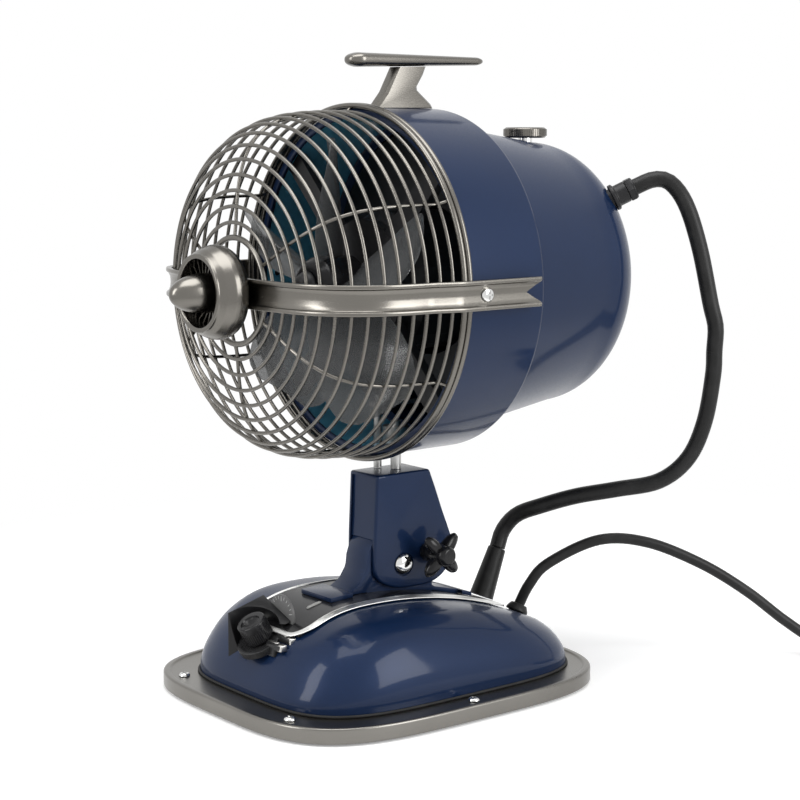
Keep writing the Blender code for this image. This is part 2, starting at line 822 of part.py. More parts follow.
def build_keys():
    # Three keys side by side, each with its pad stepping down at the outer end
    pad = [(0.0, 0.0), (-key_length, 0.0), (-key_length, -key_height), (-key_nose, -key_height),
           (-key_nose, -key_height / 2), (0.0, -key_height / 2)]
    half = key_width / 2
    for i in range(key_count):
        top = Vector((key_right_x, key_first_y + key_pitch * i, key_first_z + key_rise * i))
        work = bmesh.new()
        sides = [[work.verts.new(top + Vector((x, y, z))) for x, z in pad] for y in (-half, half)]
        work.faces.new(sides[0])
        work.faces.new(sides[1])
        for k in range(len(pad)):
            j = (k + 1) % len(pad)
            work.faces.new((sides[0][k], sides[0][j], sides[1][j], sides[1][k]))
        name = f"key_{i + 1}"
        key = finish_object(name, mesh_of(name, work), "grey_plastic")
        soften(key, key_round)
    # One stepped well under all the keys, deep enough for their travel
    low_key = Vector((key_right_x, key_first_y - half - key_clear, key_first_z))
    high_y = key_first_y + key_pitch * (key_count - 1) + half + key_clear
    drop = key_travel + key_clear
    well = [(key_clear, key_height), (-key_length - key_clear, key_height),
            (-key_length - key_clear, -key_height - drop), (-key_nose + key_clear, -key_height - drop),
            (-key_nose + key_clear, -key_height / 2 - drop), (key_clear, -key_height / 2 - drop)]
    work = bmesh.new()
    sides = [[work.verts.new((low_key.x + x, y, low_key.z + z)) for x, z in well] for y in (low_key.y,
                                                                                            high_y)]
    work.faces.new(sides[0])
    work.faces.new(sides[1])
    for k in range(len(well)):
        j = (k + 1) % len(well)
        work.faces.new((sides[0][k], sides[0][j], sides[1][j], sides[1][k]))
    key_well = finish_object("key_well", mesh_of("key_well", work), "grey_plastic", cutter=True)
    for name in ("base_body", "top_panel", "panel_trim", "control_pod", "knob_deck"):
        boolean(parts.objects[name], key_well)


def arc_points(centre_y, centre_z, radius, start, end, steps):
    points = []
    for i in range(steps + 1):
        a = start + (end - start) * i / steps
        points.append((centre_y + radius * math.cos(a), centre_z + radius * math.sin(a)))
    return points


def build_neck_bracket():
    # Tongue with a round top, standing on a pillar that goes down to the base plate
    lift = 2 * gap + panel_thickness
    outline = arc_points(tilt_y, tilt_z, tongue_radius, math.radians(-35), math.radians(180), 16)
    outline += tongue_front_points
    front = [(tongue_foot_front_y, arch_z(tongue_foot_front_y) + lift + tongue_foot_lift)]
    span = tongue_foot_rear_y - tongue_foot_front_y
    floor = [(tongue_foot_front_y + span * i / panel_steps,
              arch_z(tongue_foot_front_y + span * i / panel_steps) + lift) for i in range(panel_steps + 1)]
    rear = [(tongue_foot_rear_y, arch_z(tongue_foot_rear_y) + lift + tongue_foot_lift),
            (tongue_rear_y, tongue_rear_z)]
    prism("neck_bracket", outline + front + floor + rear, tongue_half_width, "blue_paint")
    bracket = parts.objects["neck_bracket"]
    pillar = box("bracket_pillar", Vector((-tongue_half_width, pillar_front_y,
                                           plate_height - plate_lip_drop + gap)),
                 Vector((tongue_half_width, pillar_rear_y, tilt_z - tongue_radius / 2)), "blue_paint",
                 cutter=True)
    boolean(bracket, pillar, "UNION")
    for name, low, high in (("front_toe", tongue_foot_front_y, yoke_slot_front_y),
                            ("rear_toe", tongue_foot_rear_y - 2 * tongue_foot_lift - tongue_foot_lift,
                             tongue_foot_rear_y)):
        toe = prism(name, [(low, arch_z(low) + lift), (high, arch_z(high) + lift),
                           (high, arch_z(high) + lift + tongue_foot_lift),
                           (low, arch_z(low) + lift + tongue_foot_lift)],
                    tongue_foot_half_width, "blue_paint", cutter=True)
        boolean(bracket, toe, "UNION")
    bore = rod("tilt_bore", axis_x * -yoke_outer_half_width * 2 + Vector((0, tilt_y, tilt_z)),
               axis_x * yoke_outer_half_width * 2 + Vector((0, tilt_y, tilt_z)), bolt_shaft_radius + gap,
               "steel", 24, cutter=True)
    boolean(bracket, bore)
    # Curved slot that the clamp screw moves along as the yoke tilts
    reach = math.hypot(clamp_y - tilt_y, clamp_z - tilt_z)
    middle = math.atan2(clamp_z - tilt_z, clamp_y - tilt_y)
    side = clamp_shaft_radius + 2 * gap
    start = middle - tilt_back - side / reach
    end = middle + tilt_down + side / reach
    slot = prism("clamp_slot", arc_points(tilt_y, tilt_z, reach + side, start, end, 8)
                 + arc_points(tilt_y, tilt_z, reach - side, end, start, 8), yoke_outer_half_width * 2,
                 "steel", cutter=True)
    boolean(bracket, slot)
    return bore


def build_yoke(bore):
    yoke = prism("yoke", yoke_side_points, yoke_outer_half_width, "blue_paint")
    soften(yoke, yoke_round)
    room = prism("yoke_room", arc_points(tilt_y, tilt_z, web_radius, 0, math.pi, 16)
                 + [(yoke_slot_front_y, tilt_z), (yoke_slot_front_y, yoke_slot_bottom_z),
                    (yoke_slot_rear_y, yoke_slot_bottom_z), (yoke_slot_rear_y, tilt_z)],
                 yoke_inner_half_width, "blue_paint", cutter=True)
    boolean(yoke, room)
    boolean(yoke, bore)
    head = rod("bolt_recess", Vector((yoke_outer_half_width - bolt_head_height / 4, tilt_y, tilt_z)),
               Vector((yoke_outer_half_width * 2, tilt_y, tilt_z)), bolt_head_radius + 2 * gap, "steel",
               28, cutter=True)
    boolean(yoke, head)
    clamp_hole = rod("clamp_hole", Vector((-yoke_outer_half_width * 2, clamp_y, clamp_z)),
                     Vector((yoke_outer_half_width * 2, clamp_y, clamp_z)), clamp_shaft_radius + gap,
                     "steel", 20, cutter=True)
    boolean(yoke, clamp_hole)
    start = yoke_outer_half_width - bolt_head_height / 4 + gap
    far = yoke_outer_half_width + gap + nut_height
    turned("tilt_bolt", [(0.0, bolt_head_height), (bolt_head_radius * 0.5, bolt_head_height * 0.88),
                         (bolt_head_radius * 0.85, bolt_head_height * 0.5), (bolt_head_radius, 0.0),
                         (bolt_shaft_radius, 0.0), (bolt_shaft_radius, -start - far + nut_height / 3),
                         (0.0, -start - far + nut_height / 3)],
           "chrome", Vector((start, tilt_y, tilt_z)), axis_x, 24, closed=False)
    nut_bottom = -(start + far) + nut_height / 3
    turned("dome_nut", [(0.0, nut_height), (nut_radius * 0.6, nut_height * 0.8),
                        (nut_radius, nut_height * 0.3),
                        (nut_radius, 0.0), (bolt_shaft_radius + gap, 0.0),
                        (bolt_shaft_radius + gap, nut_height * 0.7), (0.0, nut_height * 0.7)],
           "chrome", Vector((-yoke_outer_half_width - gap, tilt_y, tilt_z)), -axis_x, 24, closed=False)
    work = bmesh.new()
    hub = Vector((yoke_outer_half_width + gap, clamp_y, clamp_z))
    add_rod(work, hub, hub + axis_x * wing_hub_length, wing_hub_radius, 24)
    wing = finish_object("wing_screw", mesh_of("wing_screw", work), "black_plastic", True)
    wing_end = hub + axis_x * wing_hub_length
    shaft = rod("wing_shaft", Vector((-yoke_outer_half_width - gap, clamp_y, clamp_z)),
                hub + axis_x * overlap, clamp_shaft_radius, "steel", 20, cutter=True)
    boolean(wing, shaft, "UNION")
    for i in range(wing_count):
        a = math.radians(45) + 2 * math.pi * i / wing_count
        out = Vector((0, math.cos(a), math.sin(a)))
        tip = wing_end - axis_x * wing_thickness + out * (wing_reach - wing_tip_radius)
        work = bmesh.new()
        side = out.cross(axis_x)
        near = wing_end - axis_x * wing_thickness
        for base, half in ((near, wing_hub_radius * 0.7), (tip, wing_tip_radius)):
            for x in (-wing_thickness / 2, wing_thickness / 2):
                for y in (-half, half):
                    work.verts.new(base + axis_x * x + side * y)
        for k in range(3):
            b = -math.pi / 4 + k * math.pi / 4
            for x in (-wing_thickness / 2, wing_thickness / 2):
                work.verts.new(tip + axis_x * x + (out * math.cos(b) + side * math.sin(b)) * wing_tip_radius)
        bmesh.ops.convex_hull(work, input=list(work.verts))
        lobe = finish_object(f"wing_lobe_{i + 1}", mesh_of("lobe", work), "black_plastic", cutter=True)
        boolean(wing, lobe, "UNION")
    turned("clamp_nut", [(0.0, nut_height), (clamp_nut_radius, nut_height * 0.8), (clamp_nut_radius, 0.0),
                         (0.0, 0.0)],
           "steel", Vector((-yoke_outer_half_width - 2 * gap, clamp_y, clamp_z)), -axis_x, 6, closed=False)
    top = yoke_side_points[0][1]
    rod("pivot_post", Vector((0, pivot_y, top + gap)), Vector((0, pivot_y, post_top_z)), post_radius,
        "steel", 20)
    turned("link_pin", [(0.0, link_pin_top_z), (link_pin_radius * 0.6, link_pin_top_z),
                        (link_pin_radius * 0.6, link_pin_shoulder_z), (link_pin_radius, link_pin_shoulder_z),
                        (link_pin_radius, top + gap), (0.0, top + gap)],
           "steel", Vector((link_pin_x, link_pin_y, 0)), axis_z, 20, closed=False)


def guard_profile():
    # Evenly spaced places on the rounded outline of the guard, from the rim to the middle
    def radius_at(s):
        return guard_radius * (1 - (s / guard_depth) ** guard_power) ** (1 / guard_power)

    def depth_at(r):
        return guard_depth * (1 - (r / guard_radius) ** guard_power) ** (1 / guard_power)

    dense = []
    steps = 200
    corner = guard_depth * 0.5 ** (1 / guard_power)
    for i in range(steps):
        s = guard_first_s + (corner - guard_first_s) * i / steps
        dense.append((radius_at(s), s))
    start = radius_at(corner)
    for i in range(steps + 1):
        r = start + (guard_last_radius - start) * i / steps
        dense.append((r, depth_at(r)))
    lengths = [0.0]
    for (r1, s1), (r2, s2) in zip(dense, dense[1:]):
        lengths.append(lengths[-1] + math.hypot(r2 - r1, s2 - s1))
    chosen = []
    k = 0
    for i in range(guard_rings):
        target = lengths[-1] * i / (guard_rings - 1)
        while k < len(lengths) - 1 and lengths[k] < target:
            k += 1
        chosen.append(dense[k])
    return chosen


def add_ring(work, radius, s, wire, points, sides=3):
    rows = []
    for i in range(points):
        a = 2 * math.pi * i / points
        out = Vector((math.cos(a), 0, math.sin(a)))
        centre = Vector((0, rim_y - s, head_z)) + out * radius
        row = []
        for k in range(sides):
            b = 2 * math.pi * (k + 0.5) / sides
            row.append(work.verts.new(centre + out * wire * math.cos(b) - axis_y * wire * math.sin(b)))
        rows.append(row)
    for i in range(points):
        j = (i + 1) % points
        for k in range(sides):
            m = (k + 1) % sides
            work.faces.new((rows[i][k], rows[i][m], rows[j][m], rows[j][k]))


def build_guard():
    profile = guard_profile()
    work = bmesh.new()
    add_ring(work, rim_radius, 0.0, rim_wire, ring_points)
    for r, s in profile:
        add_ring(work, r, s, ring_wire, ring_points)
    add_ring(work, hub_ring_radius, guard_depth - rib_wire, hub_ring_wire, ring_points)
    guard = finish_object("guard", mesh_of("guard", work), "satin_metal", True)
    inward = ring_wire * 0.5 + rib_wire * 0.5
    route = [(rim_radius - rim_wire * 0.4, 0.0)]
    route += [(r - inward * (1 - (s / guard_depth) ** guard_power),
               s - inward * (s / guard_depth) ** guard_power)
              for r, s in profile]
    route.append((hub_ring_radius, guard_depth - rib_wire))
    work = bmesh.new()
    for i in range(rib_count):
        a = rib_turn + 2 * math.pi * i / rib_count
        out = Vector((math.cos(a), 0, math.sin(a)))
        side = Vector((-math.sin(a), 0, math.cos(a)))
        rings = []
        for k, (r, s) in enumerate(route):
            before = route[max(k - 1, 0)]
            after = route[min(k + 1, len(route) - 1)]
            along = (out * (after[0] - before[0]) - axis_y * (after[1] - before[1])).normalized()
            across = along.cross(side)
            centre = Vector((0, rim_y - s, head_z)) + out * r
            ring = []
            for m in range(4):
                b = math.pi / 2 * m
                ring.append(centre + (side * math.cos(b) + across * math.sin(b)) * rib_wire)
            rings.append(ring)
        add_rings(work, rings)
    ribs = finish_object("guard_ribs", mesh_of("guard_ribs", work), "satin_metal", cutter=True)
    boolean(guard, ribs, "UNION")


def build_strap():
    # Channel section swept over the guard from one side to the other
    reach = ring_wire + strap_clear
    path = [(strap_side_x, strap_end_y)]
    path.append((strap_side_x, rim_y / 2))
    path.append((strap_side_x, rim_y - guard_first_s))
    steps = 10
    for i in range(1, steps + 1):
        a = math.pi / 2 * i / steps
        r = (guard_radius + reach) * max(math.cos(a), 0.0) ** (2 / guard_power)
        s = (guard_depth + reach) * math.sin(a) ** (2 / guard_power)
        if s > 2 * guard_first_s:
            path.append((r, rim_y - s))
    full = path + [(-r, y) for r, y in reversed(path[:-1])]
    section = [(-strap_half_height, 0.0), (strap_half_height, 0.0), (strap_half_height, strap_rise),
               (strap_half_height - strap_flange, strap_rise), (strap_half_height - strap_flange, strap_web),
               (-strap_half_height + strap_flange, strap_web),
               (-strap_half_height + strap_flange, strap_rise),
               (-strap_half_height, strap_rise)]
    rings = []
    for k, (x, y) in enumerate(full):
        before = Vector((*full[max(k - 1, 0)], 0))
        after = Vector((*full[min(k + 1, len(full) - 1)], 0))
        along = (after - before).normalized()
        outward = Vector((-along.y, along.x, 0))
        if outward.dot(Vector((x, y - strap_end_y, 0))) < 0:
            outward.negate()
        rings.append([Vector((x, y, head_z + z)) + outward * up for z, up in section])
    strap = loft("strap", rings, "satin_metal", smooth=False)
    for name, side in (("right", 1), ("left", -1)):
        notch = rod(f"strap_notch_{name}",
                    Vector((side * shell_front_radius, strap_end_y + strap_notch / 5, head_z)),
                    Vector((side * (strap_side_x + 2 * strap_rise), strap_end_y + strap_notch / 5, head_z)),
                    strap_half_height * 0.62, "satin_metal", 4, cutter=True)
        boolean(strap, notch)
        hole = rod(f"strap_hole_{name}",
                   Vector((side * (strap_side_x - strap_screw_length - cut_margin), strap_screw_y, head_z)),
                   Vector((side * (strap_side_x + 2 * strap_rise), strap_screw_y, head_z)),
                   strap_screw_shaft + gap, "steel", 16, cutter=True)
        boolean(strap, hole)
        boolean(parts.objects["front_shell"], hole)
        seat = side * (strap_side_x + strap_web + gap)
        turned(f"strap_screw_{name}", [(0.0, strap_screw_head),
                                       (strap_screw_radius * 0.7, strap_screw_head * 0.8),
                                       (strap_screw_radius, 0.0), (strap_screw_shaft, 0.0),
                                       (strap_screw_shaft, -strap_screw_length), (0.0, -strap_screw_length)],
               "steel", Vector((seat, strap_screw_y, head_z)), axis_x * side, 20, closed=False)


def build_hub():
    front = rim_y - guard_depth - ring_wire - strap_clear - strap_rise - gap
    turned("nacelle", [(nacelle_front_radius, nacelle_length), (nacelle_rear_radius, nacelle_length * 0.25),
                       (nacelle_rear_radius * 0.93, 0.0), (nose_boss_radius, 0.0),
                       (nose_boss_radius, nacelle_floor),
                       (nacelle_mouth_radius, nacelle_floor), (nacelle_mouth_radius, nacelle_length)],
           "satin_metal", Vector((0, front, head_z)), -axis_y, 24)
    turned("nose_cone", [(0.0, nose_start + nose_length),
                         (nose_radius * 0.30, nose_start + nose_length * 0.96),
                         (nose_radius * 0.68, nose_start + nose_length * 0.72),
                         (nose_radius * 0.93, nose_start + nose_length * 0.36), (nose_radius, nose_start),
                         (nose_radius * 0.8, nose_start - nacelle_floor),
                         (nose_boss_radius - gap, nose_start - nacelle_floor),
                         (nose_boss_radius - gap, 0.0), (0.0, 0.0)],
           "satin_metal", Vector((0, front, head_z)), -axis_y, 20, closed=False)


def build_shells():
    turned("front_shell", [(shell_lip_radius, shell_front_y), (rim_radius - rim_wire, shell_front_y),
                           (shell_front_radius, shell_front_y + shell_wall),
                           (shell_rear_radius, shell_rear_y - shell_wall),
                           (shell_rear_radius - shell_wall, shell_rear_y), (shell_end_radius, shell_rear_y),
                           (shell_end_radius, shell_rear_y - shell_wall),
                           (shell_rear_radius - shell_wall, shell_rear_y - 2 * shell_wall),
                           (shell_front_radius - shell_wall, shell_front_y + 2 * shell_wall),
                           (shell_lip_radius, shell_front_y + shell_wall)],
           "blue_paint", Vector((0, 0, head_z)), axis_y, shell_segments)
    outer = [(rear_start_radius, rear_start_y), (rear_taper_radius, rear_taper_y)]
    inner = [(rear_start_radius - shell_wall, rear_start_y), (rear_taper_radius - shell_wall, rear_taper_y)]
    for wall, points in ((0.0, outer), (shell_wall, inner)):
        length = rear_dome_length - wall
        for i in range(1, rear_dome_points + 1):
            share = math.sin(math.pi / 2 * i / rear_dome_points)
            bend = max(0.0, 1 - share ** rear_dome_power) ** (1 / rear_dome_root)
            if i == rear_dome_points:
                bend = 0.0
            points.append(((rear_taper_radius - wall) * bend, rear_taper_y + length * share))
    turned("rear_shell", list(reversed(outer)) + inner, "blue_paint", Vector((0, 0, head_z)), axis_y,
           shell_segments, closed=False)
    front_shell = parts.objects["front_shell"]
    rear_shell = parts.objects["rear_shell"]
    post_hole = rod("post_hole", Vector((0, pivot_y, head_z - 2 * shell_front_radius)),
                    Vector((0, pivot_y, bush_bottom_z)),
                    post_radius + gap, "steel", 20, cutter=True)
    boolean(front_shell, post_hole)
    reach = math.hypot(link_pin_x, link_pin_y - pivot_y)
    middle = math.atan2(link_pin_y - pivot_y, link_pin_x)
    side = link_pin_radius + 2 * gap
    extra = swing + side / reach
    work = bmesh.new()
    plan = []
    for radius, flip in ((reach + side, 1), (reach - side, -1)):
        for i in range(13):
            a = middle + flip * extra * (2 * i / 12 - 1)
            plan.append((radius * math.cos(a), pivot_y + radius * math.sin(a)))
    rings = [[work.verts.new((x, y, z)) for x, y in plan]
             for z in (head_z - shell_front_radius - 2 * shell_wall,
                       head_z - shell_front_radius + 3 * shell_wall)]
    work.faces.new(rings[0])
    work.faces.new(rings[1])
    for i in range(len(plan)):
        j = (i + 1) % len(plan)
        work.faces.new((rings[0][i], rings[0][j], rings[1][j], rings[1][i]))
    slot = finish_object("link_slot", mesh_of("link_slot", work), "steel", cutter=True)
    boolean(front_shell, slot)
    stem_hole = rod("stem_hole", Vector((0, clutch_y, head_z + rear_taper_radius / 2)),
                    Vector((0, clutch_y, clutch_bottom_z)),
                    clutch_stem_radius + gap, "steel", 20, cutter=True)
    boolean(rear_shell, stem_hole)
    seat = Vector((gland_x, gland_y, gland_z))
    gland_hole = rod("gland_hole", seat - gland_normal * gland_stub_length * 1.5,
                     seat + gland_normal * cut_margin,
                     gland_stub_radius + gap, "steel", 24, cutter=True)
    boolean(rear_shell, gland_hole)


def build_handle():
    length = handle_rear_y - handle_front_y
    rings = []
    shares = [0.0, 0.012, 0.04, 0.09, 0.16, 0.30, 0.50, 0.70, 0.85, 0.94, 0.985, 1.0]
    for t in shares:
        nose = min(1.0, math.sqrt(max(0.0, 1 - (1 - min(t / 0.12, 1.0)) ** 2)) + 0.12)
        tail = min(1.0, math.sqrt(max(0.0, 1 - (1 - min((1 - t) / 0.10, 1.0)) ** 2)) + 0.15)
        height = handle_nose_height + (handle_tail_height - handle_nose_height) * t
        width = handle_nose_width + (handle_tail_width - handle_nose_width) * t
        full = min(nose, tail)
        top = handle_top_front_z + (handle_top_rear_z - handle_top_front_z) * t
        centre = Vector((0, handle_front_y + length * t, top - height / 2))
        rings.append([centre + Vector((x, 0, z)) for x, z in
                      superellipse(width / 2 * full, height / 2 * full, 2.4, 16)])
    loft("handle_bar", rings, "satin_metal")
    pedestal = prism("handle_pedestal", pedestal_points, pedestal_half_width, "satin_metal")
    soften(pedestal, pedestal_half_width * 0.35)
    drum = rod("pedestal_seat", Vector((0, rim_y * 2, head_z)), Vector((0, shell_rear_y * 2, head_z)),
               shell_front_radius + gap, "blue_paint", 160, cutter=True)
    boolean(pedestal, drum)
    bar_room = []
    for y in (handle_front_y, handle_rear_y):
        t = (y - handle_front_y) / length
        height = handle_nose_height + (handle_tail_height - handle_nose_height) * t
        top = handle_top_front_z + (handle_top_rear_z - handle_top_front_z) * t
        bar_room.append((y, top - height - gap))
    (y1, z1), (y2, z2) = bar_room
    slab = prism("bar_room", [(y1, z1), (y2, z2), (y2, z2 + handle_nose_height),
                              (y1, z1 + handle_nose_height)],
                 handle_nose_width, "blue_paint", cutter=True)
    boolean(pedestal, slab)


def build_drive():
    turned("motor_body", [(motor_radius * 0.80, motor_rear_y),
                          (motor_radius, motor_rear_y - motor_radius * 0.2),
                          (motor_radius, motor_front_y + motor_radius * 0.2),
                          (motor_radius * 0.80, motor_front_y),
                          (shaft_radius + gap, motor_front_y), (shaft_radius + gap, motor_rear_y)],
           "black_plastic", Vector((0, 0, head_z)), axis_y, 24)
    bracket = turned("motor_bracket", [(motor_radius * 0.9, bracket_rear_y),
                                       (motor_radius * 0.9, bracket_front_y),
                                       (bracket_hole_radius, bracket_front_y),
                                       (bracket_hole_radius, bracket_rear_y)],
                     "black_plastic", Vector((0, 0, head_z)), axis_y, 24)
    half = bracket_arm_width / 2
    inner = motor_radius * 0.6
    reach = math.sqrt((shell_front_radius - shell_wall - 2 * gap) ** 2 - half ** 2)
    for i in range(4):
        a = math.pi / 4 + math.pi / 2 * i
        work = bmesh.new()
        turn = Matrix.Translation((0, 0, head_z)) @ Matrix.Rotation(-a, 4, "Y")
        size = Matrix.Diagonal((reach - inner, bracket_rear_y - bracket_front_y - 2 * gap,
                                bracket_arm_width, 1))
        place = turn @ Matrix.Translation(((reach + inner) / 2, (bracket_rear_y + bracket_front_y) / 2,
                                           0)) @ size
        bmesh.ops.create_cube(work, size=1.0, matrix=place)
        arm = finish_object(f"bracket_arm_{i + 1}", mesh_of("arm", work), "black_plastic", cutter=True)
        boolean(bracket, arm, "UNION")
    gearbox = box("gearbox", Vector((-gearbox_half, gearbox_front_y, head_z - gearbox_half)),
                  Vector((gearbox_half, gearbox_rear_y, head_z + gearbox_half)), "black_plastic")
    shaft_end = gearbox_front_y + gearbox_half / 2
    shaft_room = rod("shaft_room", Vector((0, gearbox_front_y - cut_margin, head_z)),
                     Vector((0, shaft_end + gap, head_z)),
                     shaft_radius + gap, "steel", 20, cutter=True)
    boolean(gearbox, shaft_room)
    crank_top = head_z - gearbox_half - gap
    crank_low = link_bottom_z + link_thickness + gap
    turned("crank", [(0.0, crank_top), (crank_shaft_radius, crank_top),
                     (crank_shaft_radius, crank_low + crank_thickness),
                     (crank_radius, crank_low + crank_thickness), (crank_radius, crank_low),
                     (0.0, crank_low)],
           "steel", Vector((0, crank_y, 0)), axis_z, 28, closed=False)
    pin = rod("crank_pin", Vector((crank_throw, crank_y, link_bottom_z - gap)),
              Vector((crank_throw, crank_y, crank_low + overlap)), crank_pin_radius, "steel", 16, cutter=True)
    boolean(parts.objects["crank"], pin, "UNION")
    start = Vector((link_pin_x, link_pin_y, link_bottom_z + link_thickness / 2))
    end = Vector((crank_throw, crank_y, link_bottom_z + link_thickness / 2))
    along = (end - start).normalized()
    side = along.cross(axis_z)
    up = axis_z * link_thickness / 2
    # Rod from the fixed pin to the crank, with a slot at the rear for the crank's pin
    length = (end - start).length
    frame = Matrix.Translation(start) @ Matrix((along, -side, axis_z)).transposed().to_4x4()

    def plate(name, near, far, half_width, half_height):
        shape = bmesh.new()
        add_box(shape, Vector((near, -half_width, -half_height)), Vector((far, half_width, half_height)))
        bmesh.ops.transform(shape, matrix=frame, verts=shape.verts)
        return finish_object(name, mesh_of(name, shape), "steel", cutter=True)

    rod_piece = rod("link_rod", start - up, start + up, link_eye_radius, "steel", 24)
    wide = link_slot_half_width + link_slot_wall
    boolean(rod_piece, plate("link_bar", link_pin_radius, length - link_slot_near, link_width / 2,
                             link_thickness / 2 - gap / 2), "UNION")
    boolean(rod_piece, plate("link_head", length - link_slot_near - link_slot_wall,
                             length + link_slot_far + link_slot_wall, wide, link_thickness / 2), "UNION")
    boolean(rod_piece, plate("link_slot_room", length - link_slot_near, length + link_slot_far,
                             link_slot_half_width, link_thickness))
    hole = rod("link_hole", start - axis_z * link_thickness, start + axis_z * link_thickness,
               link_pin_radius * 0.6 + gap, "steel", 20, cutter=True)
    boolean(rod_piece, hole)
    turned("fan_baffle", [(baffle_outer, baffle_y + baffle_thickness), (baffle_outer, baffle_y),
                          (baffle_inner, baffle_y), (baffle_inner, baffle_y + baffle_thickness)],
           "black_plastic", Vector((0, 0, head_z)), axis_y, 28)
    window = box("baffle_window", Vector((-baffle_window, baffle_y - cut_margin, head_z - 2 * baffle_outer)),
                 Vector((baffle_window, baffle_y + cut_margin, link_bottom_z + 3 * link_thickness)),
                 "black_plastic",
                 cutter=True)
    boolean(parts.objects["fan_baffle"], window)
    turned("pivot_bush", [(bush_radius, bush_top_z), (bush_radius, bush_bottom_z),
                          (post_radius + gap, bush_bottom_z),
                          (post_radius + gap, bush_top_z)],
           "brass", Vector((0, pivot_y, 0)), axis_z, 24)


def build_rotor():
    rod("rotor_shaft", Vector((0, shaft_front_y, head_z)), Vector((0, gearbox_front_y + gearbox_half / 2,
                                                                   head_z)),
        shaft_radius, "steel", 20)
    inner = shaft_radius + gap
    blades = turned("blades", [(rotor_hub_radius * 0.8, rotor_front_y), (inner, rotor_front_y),
                               (inner, rotor_rear_y),
                               (rotor_hub_radius, rotor_rear_y),
                               (rotor_hub_radius, rotor_front_y + rotor_hub_radius * 0.3)],
                    "smoky_plastic", Vector((0, 0, head_z)), axis_y, 30)
    middle = (rotor_front_y + rotor_rear_y) / 2
    work = bmesh.new()
    for i in range(blade_count):
        turn = 2 * math.pi * (i + 0.25) / blade_count
        out = Vector((math.cos(turn), 0, math.sin(turn)))
        side = Vector((-math.sin(turn), 0, math.cos(turn)))
        rings = []
        for k in range(blade_stations + 1):
            t = k / blade_stations
            r = blade_root_radius + (blade_tip_radius - blade_root_radius) * t
            angle = blade_root_angle + (blade_tip_angle - blade_root_angle) * t
            widest = math.sin(math.pi * min(1.0, 0.25 + 0.62 * t))
            chord = blade_root_chord + (blade_tip_chord - blade_root_chord) * widest * t ** 0.5
            along = side * math.cos(angle) + axis_y * math.sin(angle)
            face = along.cross(out)
            centre = Vector((0, middle, head_z)) + out * r
            bow = face * chord * 0.08
            ring = []
            for m, lift in ((-0.5, 0.0), (0.0, 1.0), (0.5, 0.0)):
                ring.append(centre + along * chord * m + bow * lift + face * blade_thickness / 2)
            for m, lift in ((0.5, 0.0), (0.0, 1.0), (-0.5, 0.0)):
                ring.append(centre + along * chord * m + bow * lift - face * blade_thickness / 2)
            rings.append(ring)
        add_rings(work, rings)
    paddles = finish_object("paddles", mesh_of("paddles", work), "smoky_plastic", cutter=True)
    boolean(blades, paddles, "UNION")
    shaft_room = rod("hub_bore", Vector((0, rotor_front_y - cut_margin, head_z)),
                     Vector((0, rotor_rear_y + cut_margin, head_z)),
                     inner, "steel", 20, cutter=True)
    boolean(blades, shaft_room)
    turned("blade_nut", [(0.0, spinner_length), (spinner_radius * 0.6, spinner_length * 0.8),
                         (spinner_radius, 0.0),
                         (inner, 0.0), (inner, rotor_front_y - shaft_front_y + gap),
                         (0.0, rotor_front_y - shaft_front_y + gap)],
           "black_plastic", Vector((0, rotor_front_y - gap, head_z)), -axis_y, 24, closed=False)


def build_clutch():
    turned("clutch_knob", [(0.0, clutch_height), (clutch_radius * 0.9, clutch_height),
                           (clutch_radius, clutch_height * 0.8),
                           (clutch_radius, clutch_height * 0.15), (clutch_radius * 0.9, 0.0),
                           (clutch_stem_radius, 0.0),
                           (clutch_stem_radius, head_z + gearbox_half + 2 * gap - clutch_bottom_z),
                           (0.0, head_z + gearbox_half + 2 * gap - clutch_bottom_z)],
           "satin_metal", Vector((0, clutch_y, clutch_bottom_z)), axis_z, 24, closed=False)


